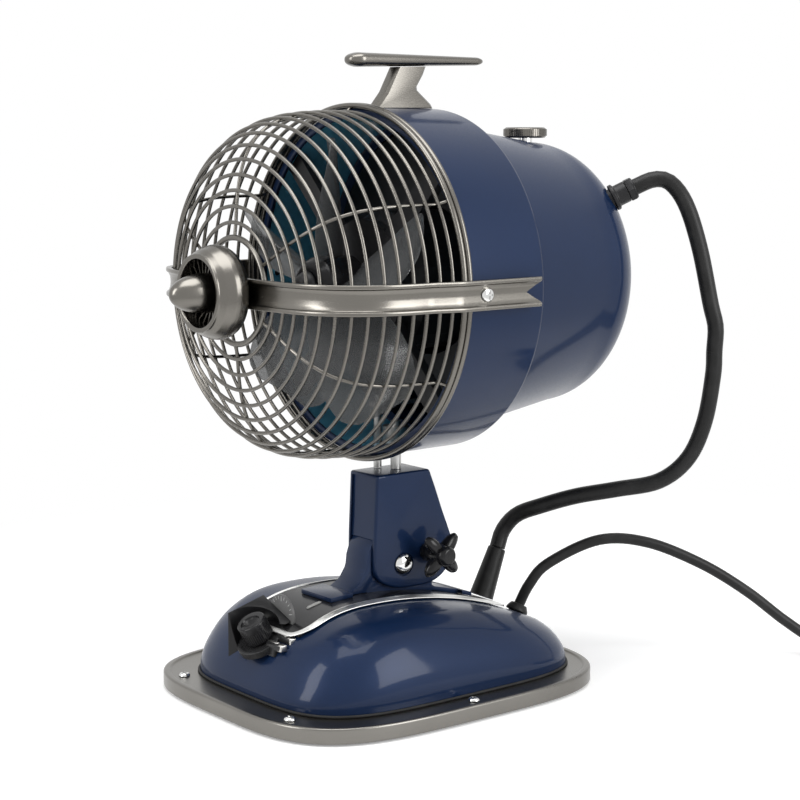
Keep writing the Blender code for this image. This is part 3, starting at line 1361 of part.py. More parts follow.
def build_head_cord():
    seat = Vector((gland_x, gland_y, gland_z)) + gland_normal * gland_lift
    bore = head_cord_radius + gap
    turned("cord_gland", [(gland_body_radius, gland_collar_height + gland_body_height),
                          (gland_body_radius, gland_collar_height),
                          (gland_collar_radius, gland_collar_height),
                          (gland_collar_radius, 0.0), (gland_stub_radius, 0.0),
                          (gland_stub_radius, -gland_stub_length),
                          (bore, -gland_stub_length), (bore, gland_collar_height + gland_body_height)],
           "black_plastic", seat, gland_normal, 16)
    start = gland_collar_height + gland_body_height + gap
    turned("gland_nut", [(gland_nut_radius * 0.85, start + gland_nut_height),
                         (gland_nut_radius, start + gland_nut_height * 0.8),
                         (gland_nut_radius, start), (bore, start), (bore, start + gland_nut_height)],
           "black_plastic", seat, gland_normal, 12)
    inside = seat - gland_normal * gland_stub_length
    outside = seat + gland_normal * (start + gland_nut_height)
    seam = [(a - b).normalized() for a, b in ((lower_route[0], upper_route[-1]),)][0]
    upper = smooth_route([inside, seat, outside] + upper_route
                         + [seam_point - seam * 3 * head_cord_radius, seam_point - seam * gap],
                         2 * head_cord_radius)
    tube("head_cord_upper", upper, head_cord_radius, "black_rubber", 2)
    into = (boot_bottom - boot_top).normalized()
    lower = smooth_route([seam_point + seam * gap, seam_point + seam * 3 * head_cord_radius] + lower_route
                         + [boot_top - into * 2.4 * head_cord_radius, boot_top - into * 2 * gap],
                         2 * head_cord_radius)
    tube("head_cord_lower", lower, head_cord_radius, "black_rubber", 2)
    length = (boot_bottom - boot_top).length
    boot = turned("cord_boot", [(0.0, 0.0), (boot_top_radius, 0.0), (boot_bottom_radius * 0.9, -length * 0.6),
                                (boot_bottom_radius, -length * 0.8), (boot_bottom_radius, -length),
                                (0.0, -length)],
                  "black_rubber", boot_top, -into, 24, closed=False)
    floor = prism("boot_floor", strip_outline(tongue_foot_rear_y, body_rear_y, -body_peak_height, gap),
                  body_half_width, "black_rubber", cutter=True)
    boolean(boot, floor)


def build_mains_cord():
    foot = Vector((grommet_x, grommet_y, body_surface(grommet_x, grommet_y)))
    out = body_normal(grommet_x, grommet_y, grommet_neck_radius)
    bore = mains_radius + gap
    turned("mains_grommet", [(bore, grommet_height), (grommet_radius * 0.75, grommet_height),
                             (grommet_radius, grommet_height * 0.4), (grommet_radius, grommet_lift),
                             (grommet_neck_radius, grommet_lift), (grommet_neck_radius, -body_wall),
                             (bore, -body_wall)], "black_rubber", foot, out, 20)
    hole = rod("mains_hole", foot - out * 3 * body_wall, foot + out * grommet_height,
               grommet_neck_radius + gap,
               "steel", 20, cutter=True)
    boolean(parts.objects["base_body"], hole)
    low = coil_lift + mains_radius
    outer = coil_inner_radius + coil_pitch * coil_turns
    entry = coil_centre + Vector((math.cos(coil_start_angle) * outer, math.sin(coil_start_angle) * outer,
                                  low))
    heading = Vector((math.sin(coil_start_angle), -math.cos(coil_start_angle), 0))
    route = [foot - out * body_wall, foot + out * grommet_height] + mains_route
    route += [entry - heading * (coil_lead + 2 * mains_radius), entry - heading * coil_lead]
    tube("mains_cord", smooth_route(route, 2.5 * mains_radius), mains_radius, "black_rubber", 1)
    points = [entry - heading * (coil_lead - gap)]
    climb = 0.5
    steps = int(coil_loop_points * (2 * coil_turns + climb))
    for i in range(steps + 1):
        turns = i / coil_loop_points
        if turns <= coil_turns:
            radius = outer - coil_pitch * turns
            rise = 0.0
        elif turns < coil_turns + climb:
            share = (turns - coil_turns) / climb
            radius = coil_inner_radius - coil_tuck * math.sin(math.pi * share)
            rise = coil_layer_rise * (1 - math.cos(math.pi * share)) / 2
        else:
            radius = coil_inner_radius + coil_pitch * (turns - coil_turns - climb)
            rise = coil_layer_rise
        a = coil_start_angle - 2 * math.pi * turns
        points.append(coil_centre + Vector((radius * math.cos(a), radius * math.sin(a), low + rise)))
    last = points[-1]
    leave = (points[-1] - points[-2]).normalized()
    leave.z = 0
    points.append(last + leave * coil_lead)
    tube("mains_cord_coil", points, mains_radius, "black_rubber", 1)
    least = 1.0
    for i in range(0, len(points)):
        for j in range(i + coil_loop_points // 2, len(points)):
            least = min(least, (points[i] - points[j]).length)
    print("least gap of the coil to itself, mm:", round((least - 2 * mains_radius) * 1000, 2))
    build_plug(points[-1] + leave * gap, leave)
    build_tie(low, outer)


def build_plug(start, along):
    side = along.cross(axis_z)
    rings = []
    for t, share in ((0.0, 0.35), (0.2, 0.55), (0.45, 1.0), (0.9, 1.0), (1.0, 0.92)):
        centre = start + along * plug_length * t
        half_width = plug_width / 2 * share
        half_height = plug_height / 2 * (0.5 + 0.5 * share)
        rings.append([centre + side * x + axis_z * z for x,
                      z in superellipse(half_width, half_height, 3.0, 20)])
    plug = loft("mains_plug", rings, "black_rubber")
    for i, offset in enumerate((-plug_pin_spacing / 2, plug_pin_spacing / 2)):
        base = start + along * (plug_length - 2 * overlap) + side * offset
        pin = rod(f"plug_pin_{i + 1}", base, base + along * plug_pin_length, plug_pin_radius, "brass", 16,
                  cutter=True)
        boolean(plug, pin, "UNION")


def build_tie(low, outer):
    # Band round the turns of the coil at one side
    out = Vector((math.cos(tie_angle), math.sin(tie_angle), 0))
    side = Vector((-math.sin(tie_angle), math.cos(tie_angle), 0))
    near = coil_inner_radius - coil_tuck - mains_radius - tie_clear
    far = outer + mains_radius + tie_clear
    bottom = coil_lift - tie_clear / 2
    top = low + coil_layer_rise + mains_radius + tie_clear
    work = bmesh.new()
    frames = []
    for half in (-tie_width / 2, tie_width / 2):
        for grow in (0.0, tie_thickness):
            corners = []
            for r, z in ((near - grow, bottom - grow), (far + grow, bottom - grow),
                         (far + grow, top + grow), (near - grow, top + grow)):
                corners.append(work.verts.new(coil_centre + out * r + side * half + axis_z * z))
            frames.append(corners)
    inner_low, outer_low, inner_high, outer_high = frames
    for i in range(4):
        j = (i + 1) % 4
        work.faces.new((inner_low[i], inner_low[j], outer_low[j], outer_low[i]))
        work.faces.new((inner_high[i], inner_high[j], outer_high[j], outer_high[i]))
        work.faces.new((inner_low[i], inner_low[j], inner_high[j], inner_high[i]))
        work.faces.new((outer_low[i], outer_low[j], outer_high[j], outer_high[i]))
    finish_object("cord_tie", mesh_of("cord_tie", work), "black_rubber")


clear_scene()
parts = make_collection("air_circulator_fan")
cutters = make_collection("cutters")
build_base()
base_body, pillar_opening = build_body()
build_panel(pillar_opening)
build_controls(base_body)
build_pod()
build_keys()
tilt_bore = build_neck_bracket()
build_yoke(tilt_bore)
build_shells()
build_guard()
build_strap()
build_hub()
build_handle()
build_drive()
build_rotor()
build_clutch()
build_head_cord()
build_mains_cord()
boolean(base_body, pillar_opening)


def add_pivot(name, place, pieces, parent=None):
    # Empty on a joint's axis that carries the pieces turning or sliding about it
    pivot = bpy.data.objects.new(name, None)
    pivots.objects.link(pivot)
    pivot.location = place
    bpy.context.view_layer.update()
    if parent is not None:
        pivot.parent = parent
        pivot.matrix_parent_inverse = parent.matrix_world.inverted()
        bpy.context.view_layer.update()
    for piece in pieces:
        child = parts.objects[piece]
        child.parent = pivot
        child.matrix_parent_inverse = pivot.matrix_world.inverted()
    return pivot


pivots = make_collection("joint_axes")
tilt_pivot = add_pivot("tilt_axis", Vector((0, tilt_y, tilt_z)),
                       ["yoke", "tilt_bolt", "dome_nut", "clamp_nut", "pivot_post", "link_pin"])
add_pivot("wing_axis", Vector((yoke_outer_half_width, clamp_y, clamp_z)), ["wing_screw"], tilt_pivot)
add_pivot("link_axis", Vector((link_pin_x, link_pin_y, link_bottom_z)), ["link_rod"], tilt_pivot)
swing_pivot = add_pivot("swing_axis", Vector((0, pivot_y, yoke_side_points[0][1])),
                        ["front_shell", "rear_shell", "guard", "strap", "strap_screw_right",
                         "strap_screw_left",
                         "nacelle", "nose_cone", "handle_bar", "handle_pedestal", "motor_body",
                         "motor_bracket",
                         "gearbox", "crank", "fan_baffle", "pivot_bush", "cord_gland", "gland_nut",
                         "head_cord_upper"], tilt_pivot)
add_pivot("rotor_axis", Vector((0, motor_front_y, head_z)), ["rotor_shaft", "blades", "blade_nut"],
          swing_pivot)
add_pivot("clutch_axis", Vector((0, clutch_y, clutch_bottom_z)), ["clutch_knob"], swing_pivot)
add_pivot("knob_axis", slope_point(0, 0, 0), ["timer_knob"])
for number in range(key_count):
    top = Vector((key_right_x, key_first_y + key_pitch * number, key_first_z + key_rise * number))
    add_pivot(f"key_axis_{number + 1}", top, [f"key_{number + 1}"])
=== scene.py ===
# The looks of a desk air circulator: satin metal guard and base plate, dark blue enamel
# drum, yoke and base, black controls and cords.
# Metres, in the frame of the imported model: +Z up, the fan blows towards -Y.

import math

import bmesh
import bpy
from mathutils import Matrix, Vector


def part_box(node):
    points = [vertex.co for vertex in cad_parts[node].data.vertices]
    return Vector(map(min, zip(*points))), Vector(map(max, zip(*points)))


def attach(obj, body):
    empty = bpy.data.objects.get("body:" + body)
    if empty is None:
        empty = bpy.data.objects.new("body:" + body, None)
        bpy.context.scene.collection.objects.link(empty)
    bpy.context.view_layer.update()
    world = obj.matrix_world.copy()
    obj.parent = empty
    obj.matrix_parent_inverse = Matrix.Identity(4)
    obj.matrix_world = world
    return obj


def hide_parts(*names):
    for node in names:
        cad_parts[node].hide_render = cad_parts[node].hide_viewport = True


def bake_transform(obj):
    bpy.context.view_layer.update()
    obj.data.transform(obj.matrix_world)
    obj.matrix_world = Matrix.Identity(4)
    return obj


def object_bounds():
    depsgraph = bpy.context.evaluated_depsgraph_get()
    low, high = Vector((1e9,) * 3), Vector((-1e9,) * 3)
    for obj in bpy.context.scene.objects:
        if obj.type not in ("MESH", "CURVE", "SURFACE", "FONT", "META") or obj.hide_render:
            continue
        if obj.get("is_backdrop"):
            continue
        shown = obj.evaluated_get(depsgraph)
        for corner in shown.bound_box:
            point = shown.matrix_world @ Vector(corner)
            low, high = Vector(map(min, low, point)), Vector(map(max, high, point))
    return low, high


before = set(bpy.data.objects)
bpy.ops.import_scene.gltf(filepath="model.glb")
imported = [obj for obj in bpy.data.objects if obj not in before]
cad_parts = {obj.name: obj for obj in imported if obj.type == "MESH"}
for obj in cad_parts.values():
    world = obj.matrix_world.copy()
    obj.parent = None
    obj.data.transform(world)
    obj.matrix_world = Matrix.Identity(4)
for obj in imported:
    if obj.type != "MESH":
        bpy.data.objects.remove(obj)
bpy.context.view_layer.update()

axis_x = Vector((1, 0, 0))
axis_y = Vector((0, 1, 0))
axis_z = Vector((0, 0, 1))
# Small clearance between neighbouring pieces
gap = 0.0003

# The head: its axis lies along Y at this height
head_z = 0.2446
rim_y = -0.018
rim_radius = 0.1034
head_axis = Vector((0, 0, head_z))

# Wire guard
guard_depth = 0.0835
guard_radius = 0.0998
guard_power = 4.0
guard_ring_count = 14
guard_first_s = 0.0062
guard_last_radius = 0.0385
ring_wire = 0.0011
rim_wire = 0.00165
rib_wire = 0.001
hub_ring_radius = 0.03
hub_ring_wire = 0.0017
rib_count = 6

# Blue base body
body_half_width = 0.082
body_front_y = -0.098
body_rear_y = 0.108
body_squareness = 4.0
body_bottom = 0.0098
body_peak_height = 0.0585
body_peak_y = -0.025
body_levels = [(0, 1.0, 1.0, 0), (0.25, 0.995, 0.995, 0), (0.5, 0.955, 0.98, 0.000515),
               (0.75, 0.865, 0.95, 0.001236), (0.9, 0.755, 0.91, 0.00206), (0.965, 0.65, 0.86, 0.002575),
               (0.985, 0.45, 0.68, 0.002575), (1.0, 0.2, 0.36, 0.002575), (1.0, 0.06, 0.1, 0.002575)]

# The top line of the body falls from its peak to the front and to the rear
arch_front_fall = 0.0105
arch_front_reach = 0.05
arch_front_power = 2.75
arch_rear_fall = 0.0315
arch_rear_reach = 0.133

# Sloping control end
deck_slope = math.radians(30)
knob_radius = 0.00875
knob_height = 0.0127
knob_top = Vector((0, -0.0929, 0.053))


# Small tools for shapes

def arch_z(y):
    if y < body_peak_y:
        return body_peak_height - arch_front_fall * ((body_peak_y - y) / arch_front_reach) ** arch_front_power
    return body_peak_height - arch_rear_fall * ((y - body_peak_y) / arch_rear_reach) ** 2


def turn_to(direction):
    return Vector(direction).to_track_quat("Z", "Y").to_matrix().to_4x4()


def in_scene(name, data):
    made = bpy.data.objects.new(name, data)
    bpy.context.scene.collection.objects.link(made)
    return made


def soften(mesh, seams):
    """Smooth shading, with edges sharper than this many degrees kept."""
    mesh.shade_smooth()
    if seams:
        mesh.set_sharp_from_angle(angle=math.radians(seams))


def new_object(name, mesh, finish, smooth=True, seams=35):
    piece = in_scene(name, mesh)
    mesh.materials.append(finish)
    if smooth:
        soften(mesh, seams)
    return piece


def mesh_from(name, work):
    bmesh.ops.recalc_face_normals(work, faces=work.faces)
    mesh = bpy.data.meshes.new(name)
    work.to_mesh(mesh)
    work.free()
    return mesh


def rounded(points, radius, steps=4, closed=False):
    """The corners of a flat outline, each turned into a small arc."""
    out = []
    count = len(points)
    for i, p in enumerate(points):
        p = Vector(p)
        if not closed and i in (0, count - 1):
            out.append((p.x, p.y))
            continue
        a = Vector(points[i - 1]) - p
        b = Vector(points[(i + 1) % count]) - p
        cut = min(radius, a.length * 0.45, b.length * 0.45)
        if cut < 1e-6 or a.angle(b) > math.radians(172):
            out.append((p.x, p.y))
            continue
        start = p + a.normalized() * cut
        end = p + b.normalized() * cut
        for k in range(steps + 1):
            t = k / steps
            q = start * (1 - t) ** 2 + p * 2 * t * (1 - t) + end * t ** 2
            out.append((q.x, q.y))
    return out


def add_rings(work, rings, cap=True, loop=False):
    rows = [[work.verts.new(p) for p in ring] for ring in rings]
    pairs = list(zip(rows, rows[1:]))
    if loop:
        pairs.append((rows[-1], rows[0]))
    for low, high in pairs:
        for i in range(len(low)):
            j = (i + 1) % len(low)
            work.faces.new((low[i], low[j], high[j], high[i]))
    if cap and not loop:
        work.faces.new(list(reversed(rows[0])))
        work.faces.new(rows[-1])


def loft(name, rings, finish, seams=35, cap=True, loop=False):
    work = bmesh.new()
    add_rings(work, rings, cap, loop)
    return new_object(name, mesh_from(name, work), finish, True, seams)


def lathe(work, profile, place, count, closed=True):
    """Turns a flat profile of (radius, height) pairs about the Z axis of a place."""
    rows = []
    for radius, height in profile:
        if radius < 1e-7:
            rows.append([work.verts.new(place @ Vector((0, 0, height)))])
            continue
        row = []
        for k in range(count):
            a = 2 * math.pi * k / count
            row.append(work.verts.new(place @ Vector((radius * math.cos(a), radius * math.sin(a), height))))
        rows.append(row)
    pairs = list(zip(rows, rows[1:]))
    if closed:
        pairs.append((rows[-1], rows[0]))
    for low, high in pairs:
        for i in range(count):
            j = (i + 1) % count
            if len(low) == 1 and len(high) == 1:
                break
            if len(low) == 1:
                work.faces.new((low[0], high[j], high[i]))
            elif len(high) == 1:
                work.faces.new((low[i], low[j], high[0]))
            else:
                work.faces.new((low[i], low[j], high[j], high[i]))


def turned(name, profile, finish, origin, axis, count=64, closed=True, seams=35):
    work = bmesh.new()
    lathe(work, profile, Matrix.Translation(origin) @ turn_to(axis), count, closed)
    return new_object(name, mesh_from(name, work), finish, True, seams)


def superellipse(half_x, half_y, power, count):
    points = []
    for i in range(count):
        t = 2 * math.pi * (i + 0.5) / count
        c = math.cos(t)
        s = math.sin(t)
        points.append((half_x * math.copysign(abs(c) ** (2 / power), c),
                       half_y * math.copysign(abs(s) ** (2 / power), s)))
    return points


def spline(a, b, c, d, t):
    """A place on the smooth line from b to c, with a before it and d after it."""
    return 0.5 * (2 * b + (c - a) * t + (2 * a - 5 * b + 4 * c - d) * t * t
                  + (3 * b - a - 3 * c + d) * t ** 3)


def curve_through(points, parts=16):
    """A smooth line through given points."""
    ends = [2 * points[0] - points[1]] + list(points) + [2 * points[-1] - points[-2]]
    dense = []
    for i in range(1, len(ends) - 2):
        dense += [spline(*ends[i - 1:i + 3], k / parts) for k in range(parts)]
    dense.append(points[-1].copy())
    return dense


def line_length(line):
    return sum((q - p).length for p, q in zip(line, line[1:]))


def evenly(line, spacing):
    total = line_length(line)
    count = max(2, round(total / spacing))
    step = total / count
    route = [line[0]]
    walked = 0.0
    for p, q in zip(line, line[1:]):
        length = (q - p).length
        while length > 0 and len(route) < count and walked + length >= len(route) * step:
            route.append(p.lerp(q, (len(route) * step - walked) / length))
        walked += length
    route.append(line[-1])
    return route


def add_tube(work, line, radius, sides=12, loop=False):
    """A round tube along a line, with its turn carried on from point to point."""
    side = None
    rings = []
    count = len(line)
    for i, p in enumerate(line):
        before = line[i - 1] if i > 0 or loop else line[0]
        after = line[(i + 1) % count] if i < count - 1 or loop else line[-1]
        along = (after - before).normalized()
        if side is None:
            side = along.orthogonal().normalized()
        side = (side - along * side.dot(along)).normalized()
        up = along.cross(side)
        size = radius(i / (count - 1)) if callable(radius) else radius
        rings.append([p
            + (side * math.cos(2 * math.pi * k / sides) + up * math.sin(2 * math.pi * k / sides)) * size
            for k in range(sides)])
    add_rings(work, rings, not loop, loop)


def tube(name, line, radius, finish, sides=12, loop=False):
    work = bmesh.new()
    add_tube(work, line, radius, sides, loop)
    return new_object(name, mesh_from(name, work), finish, True, 50)


def plate(name, outline, half_width, finish, edge, steps=3):
    """A flat piece with this (y, z) outline, standing across X, with rounded edges."""
    work = bmesh.new()
    sides = [[work.verts.new((x, y, z)) for y, z in outline] for x in (-half_width, half_width)]
    work.faces.new(sides[0])
    work.faces.new(list(reversed(sides[1])))
    for i in range(len(outline)):
        j = (i + 1) % len(outline)
        work.faces.new((sides[0][i], sides[1][i], sides[1][j], sides[0][j]))
    piece = new_object(name, mesh_from(name, work), finish, True, 40)
    ease(piece, edge, steps)
    return piece


def ease(piece, width, steps=3):
    """Rounds the sharp edges and keeps the result as a plain mesh."""
    bevel = piece.modifiers.new("edge", "BEVEL")
    bevel.width = width
    bevel.segments = steps
    bevel.limit_method = "ANGLE"
    bevel.angle_limit = math.radians(40)
    bevel.harden_normals = False
    settle(piece)
    soften(piece.data, 42)


def settle(piece):
    bpy.context.view_layer.update()
    made = bpy.data.meshes.new_from_object(piece.evaluated_get(bpy.context.evaluated_depsgraph_get()))
    piece.modifiers.clear()
    piece.data = made


def carve(piece, cutter):
    cut = piece.modifiers.new("cut", "BOOLEAN")
    cut.operation = "DIFFERENCE"
    cut.solver = "EXACT"
    cut.object = cutter
    settle(piece)
    bpy.data.objects.remove(cutter)
    soften(piece.data, 35)


def joined(name, pieces):
    """Several meshes as one piece, each with its own finish."""
    work = bmesh.new()
    finishes = []
    for piece in pieces:
        first = len(work.faces)
        work.from_mesh(piece.data)
        work.faces.ensure_lookup_table()
        for face in work.faces[first:]:
            own = piece.data.materials[face.material_index]
            if own not in finishes:
                finishes.append(own)
            face.material_index = finishes.index(own)
        bpy.data.objects.remove(piece)
    mesh = bpy.data.meshes.new(name)
    work.to_mesh(mesh)
    work.free()
    made = in_scene(name, mesh)
    for finish in finishes:
        mesh.materials.append(finish)
    return made


def put(piece, body, slot, *nodes):
    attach(piece, body)
    if nodes:
        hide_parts(*nodes)


# Materials: a wrapper that turns sums on sockets into nodes

class Value:
    def __init__(self, finish, socket):
        self.finish = finish
        self.socket = socket

    def with_other(self, operation, other):
        return self.finish.value(0, "ShaderNodeMath", {0: self, 1: other}, operation=operation)

    def __add__(self, other):
        return self.with_other("ADD", other)

    def __mul__(self, other):
        return self.with_other("MULTIPLY", other)

    def __pow__(self, other):
        return self.with_other("POWER", other)


class Finish:
    def __init__(self, name, roughness, metallic=0.0):
        self.material = bpy.data.materials.new(name)
        self.material.use_nodes = True
        self.tree = self.material.node_tree
        self.shader = self.tree.nodes["Principled BSDF"]
        self.constant("Roughness", roughness)
        self.constant("Metallic", metallic)

    def constant(self, name, value):
        self.shader.inputs[name].default_value = value

    def feed(self, name, value):
        self.tree.links.new(value.socket, self.shader.inputs[name])

    def value(self, output, kind, inputs, **settings):
        """One output of a new node, fed by other values or by constants."""
        made = self.tree.nodes.new(kind)
        for name, value in settings.items():
            setattr(made, name, value)
        for name, value in inputs.items():
            if isinstance(value, Value):
                self.tree.links.new(value.socket, made.inputs[name])
            else:
                made.inputs[name].default_value = value
        return Value(self, made.outputs[output])

    def place(self, scale=(1, 1, 1), centre=(0, 0, 0)):
        """Object coordinates, centred and stretched."""
        start = self.value("Object", "ShaderNodeTexCoord", {})
        shift = self.value(0, "ShaderNodeMapping", {"Vector": start, "Location": tuple(-c for c in centre)})
        return self.value(0, "ShaderNodeMapping", {"Vector": shift, "Scale": scale})

    def noise(self, where, scale, detail=3.0, rough=0.5):
        inputs = {"Vector": where, "Scale": scale, "Detail": detail, "Roughness": rough}
        return self.value("Fac", "ShaderNodeTexNoise", inputs)

    def sparkle(self, where, scale):
        """A different share in every small cell."""
        cells = self.value("Color", "ShaderNodeTexVoronoi", {"Vector": where, "Scale": scale})
        return self.value(0, "ShaderNodeSeparateXYZ", {0: cells})

    def ramp(self, value, low, high):
        """A share that rises from 0 at low to 1 at high."""
        made = self.value("Color", "ShaderNodeValToRGB", {0: value})
        stops = made.socket.node.color_ramp.elements
        stops[0].position = low
        stops[1].position = high
        return made

    def level(self, value, low, high):
        """A 0 to 1 value stretched to run from low to high."""
        return value * (high - low) + low

    def blend(self, share, first, second):
        a, b = [c if isinstance(c, Value) else (*c, 1.0) for c in (first, second)]
        return self.value(2, "ShaderNodeMix", {"Factor": share, 6: a, 7: b}, data_type="RGBA")

    def bump(self, height, strength, distance):
        inputs = {"Height": height, "Strength": strength, "Distance": distance}
        self.feed("Normal", self.value(0, "ShaderNodeBump", inputs))


def tinted(colour, factor, plus=0.0):
    return tuple(c * factor + plus for c in colour)


def satin_nickel(name, stretch, colour=(0.165, 0.156, 0.141), rough=0.25):
    """Fine-brushed plating: the grain runs along the axis with the small stretch."""
    f = Finish(name, rough, 1.0)
    grain = f.noise(f.place(scale=stretch), 3600.0, 2.0, 0.5)
    cloud = f.noise(f.place(), 28.0, 2.0, 0.5)
    tone = f.blend(f.ramp(cloud, 0.3, 0.75), tinted(colour, 0.9), tinted(colour, 1.1))
    f.feed("Base Color", f.blend(f.level(grain, 0.15, 0.75), tone, colour))
    f.feed("Roughness", f.level(grain, rough - 0.04, rough + 0.06) + f.level(cloud, -0.02, 0.03))
    f.bump(grain, 0.02, 0.0001)
    return f.material


def blue_enamel(name, colour=(0.0034, 0.0135, 0.046), lift=1.5):
    """Thick glossy enamel over fine metal flake, with a slight orange peel."""
    f = Finish(name, 0.42, 0.25)
    f.constant("Coat Roughness", 0.09)
    f.constant("Coat Weight", 0.5)
    f.constant("Coat IOR", 1.36)
    f.constant("Specular IOR Level", 0.12)
    where = f.place()
    spark = f.sparkle(where, 3200.0)
    depth = f.noise(where, 18.0, 2.0, 0.5)
    tone = f.blend(f.ramp(depth, 0.3, 0.72), colour, tinted(colour, 1.14))
    f.feed("Base Color", f.blend((spark ** 6.0) * 0.5, tone, tinted(colour, lift)))
    f.feed("Roughness", f.level(spark, 0.36, 0.48))
    peel = f.noise(where, 420.0, 2.0, 0.45)
    f.bump(peel, 0.025, 0.0004)
    return f.material


def moulded_plastic(name, colour, rough, grain=1400.0, depth=0.1):
    """Moulded plastic with a fine spark-eroded texture and lighter rubbed spots."""
    f = Finish(name, rough)
    f.constant("Specular IOR Level", 0.25)
    where = f.place()
    fine = f.noise(where, grain, 3.0, 0.6)
    patch = f.noise(where, 60.0, 3.0, 0.55)
    f.feed("Base Color", f.blend(f.ramp(patch, 0.42, 0.8), colour, tinted(colour, 1.45, 0.004)))
    f.feed("Roughness", f.level(fine, rough - 0.07, rough + 0.08) + f.level(patch, -0.04, 0.04))
    f.bump(fine, depth, 0.0002)
    return f.material


def rubber(name, colour, rough):
    """Extruded rubber: matt, with a faint bloom and fine scuffs."""
    f = Finish(name, rough)
    f.constant("Specular IOR Level", 0.22)
    where = f.place()
    fine = f.noise(where, 2200.0, 2.0, 0.6)
    bloom = f.noise(where, 75.0, 4.0, 0.6)
    f.feed("Base Color", f.blend(f.ramp(bloom, 0.45, 0.85), colour, tinted(colour, 1.9, 0.003)))
    f.feed("Roughness", f.level(bloom, rough - 0.08, rough + 0.1))
    f.bump(fine, 0.08, 0.0002)
    return f.material


def polished(name, colour, rough):
    f = Finish(name, rough, 1.0)
    haze = f.noise(f.place(), 140.0, 4.0, 0.6)
    f.feed("Roughness", f.level(haze, rough * 0.6, rough * 1.5))
    f.feed("Base Color", f.blend(haze, tinted(colour, 0.9), colour))
    return f.material


def smoked(name, colour):
    """Tinted clear plastic of the blades, a little denser in soft random swirls."""
    f = Finish(name, 0.16)
    f.constant("IOR", 1.49)
    swirl = f.noise(f.place(), 35.0, 2.0, 0.5)
    f.feed("Base Color", f.blend(swirl, colour, tinted(colour, 1.5)))
    f.feed("Alpha", f.level(swirl, 0.6, 0.72))
    f.feed("Roughness", f.level(swirl, 0.1, 0.22))
    return f.material


nickel = satin_nickel("satin_nickel_wire", (1, 1, 1))
nickel_strap = satin_nickel("satin_nickel_strap", (0.05, 1, 1), (0.185, 0.175, 0.158), 0.23)
nickel_turned = satin_nickel("satin_nickel_turned", (1, 1, 1), (0.165, 0.156, 0.141), 0.23)
nickel_plate = satin_nickel("satin_nickel_plate", (0.6, 0.6, 0.6), (0.19, 0.182, 0.167), 0.28)
nickel_handle = satin_nickel("satin_nickel_handle", (1, 0.06, 1), (0.17, 0.161, 0.146), 0.26)
enamel = blue_enamel("blue_enamel")
# A lighter, more teal copy of the blue enamel for the drum's inner wall: the wall's own blue paint with
# painted light, standing for light falling into the drum
enamel_painted_lit_inside = blue_enamel("blue_enamel_painted_lit_inside", (0.09, 0.33, 0.49), 1.1)
black_plastic = moulded_plastic("black_plastic", (0.01, 0.01, 0.011), 0.36)
black_gloss = moulded_plastic("black_gloss", (0.008, 0.008, 0.009), 0.2, 900.0, 0.03)
black_motor = moulded_plastic("motor_lacquer", (0.014, 0.014, 0.015), 0.42, 600.0, 0.06)
grey_plastic = moulded_plastic("grey_plastic", (0.3, 0.3, 0.29), 0.34, 1200.0, 0.05)
key_black = moulded_plastic("key_black", (0.016, 0.016, 0.017), 0.3, 1200.0, 0.05)
key_satin = polished("key_satin", (0.52, 0.51, 0.49), 0.28)
deck_black = moulded_plastic("deck_black", (0.02, 0.02, 0.021), 0.28, 1200.0, 0.04)
dial_print = moulded_plastic("dial_plate_grey", (0.105, 0.105, 0.105), 0.38, 1200.0, 0.04)
tick_pale = moulded_plastic("tick_pale", (0.42, 0.42, 0.41), 0.45)
cord_rubber = rubber("cord_rubber", (0.011, 0.011, 0.011), 0.4)
foot_rubber = rubber("foot_rubber", (0.016, 0.016, 0.016), 0.6)
chrome = polished("bright_chrome", (0.74, 0.74, 0.73), 0.1)
trim_satin = polished("satin_trim", (0.86, 0.86, 0.84), 0.34)
steel = polished("zinc_steel", (0.48, 0.48, 0.47), 0.3)
smoke = smoked("smoked_blade", (0.085, 0.088, 0.09))


# Camera at the photograph's viewing angle

camera_azimuth = math.radians(51.79)
camera_drop = math.radians(8.26)
camera_data = bpy.data.cameras.new("camera")
camera_data.lens = 86.7
camera_data.sensor_width = 36.0
camera = in_scene("camera", camera_data)
camera.location = (0.9057, -0.6957, 0.3395)
looking = Vector((-math.sin(camera_azimuth) * math.cos(camera_drop),
                  math.cos(camera_azimuth) * math.cos(camera_drop), -math.sin(camera_drop)))
camera.rotation_euler = looking.to_track_quat("-Z", "Y").to_euler()
bpy.context.scene.camera = camera


# Cords: the head cord in two pieces that meet at the seam, and the mains cord with its coil

head_cord_radius = 0.005
gland_normal = Vector((0.553, 0.702, 0.448)).normalized()
gland_seat = Vector((0.0574, 0.1342, 0.2914)) + gland_normal * 0.0024
gland_end = 0.0022 + 0.0075 + gap + 0.005
boot_top = Vector((0, 0.096, 0.07))
boot_bottom = Vector((0, 0.083, 0.0405))
upper_route = [Vector(p) for p in ((0.0745, 0.156, 0.304), (0.0815, 0.163, 0.3015), (0.0905, 0.1675, 0.288),
    (0.0985, 0.1715, 0.262), (0.1045, 0.1755, 0.229))]
seam_point = Vector((0.1066, 0.1775, 0.2))
lower_route = [Vector(p) for p in ((0.1025, 0.1745, 0.156), (0.095, 0.1685, 0.133), (0.081, 0.158, 0.118),
    (0.06, 0.142, 0.1115), (0.04, 0.1265, 0.106), (0.0215, 0.114, 0.0985), (0.0075, 0.106, 0.0915))]
seam_way = (lower_route[0] - upper_route[-1]).normalized()
into_boot = (boot_bottom - boot_top).normalized()

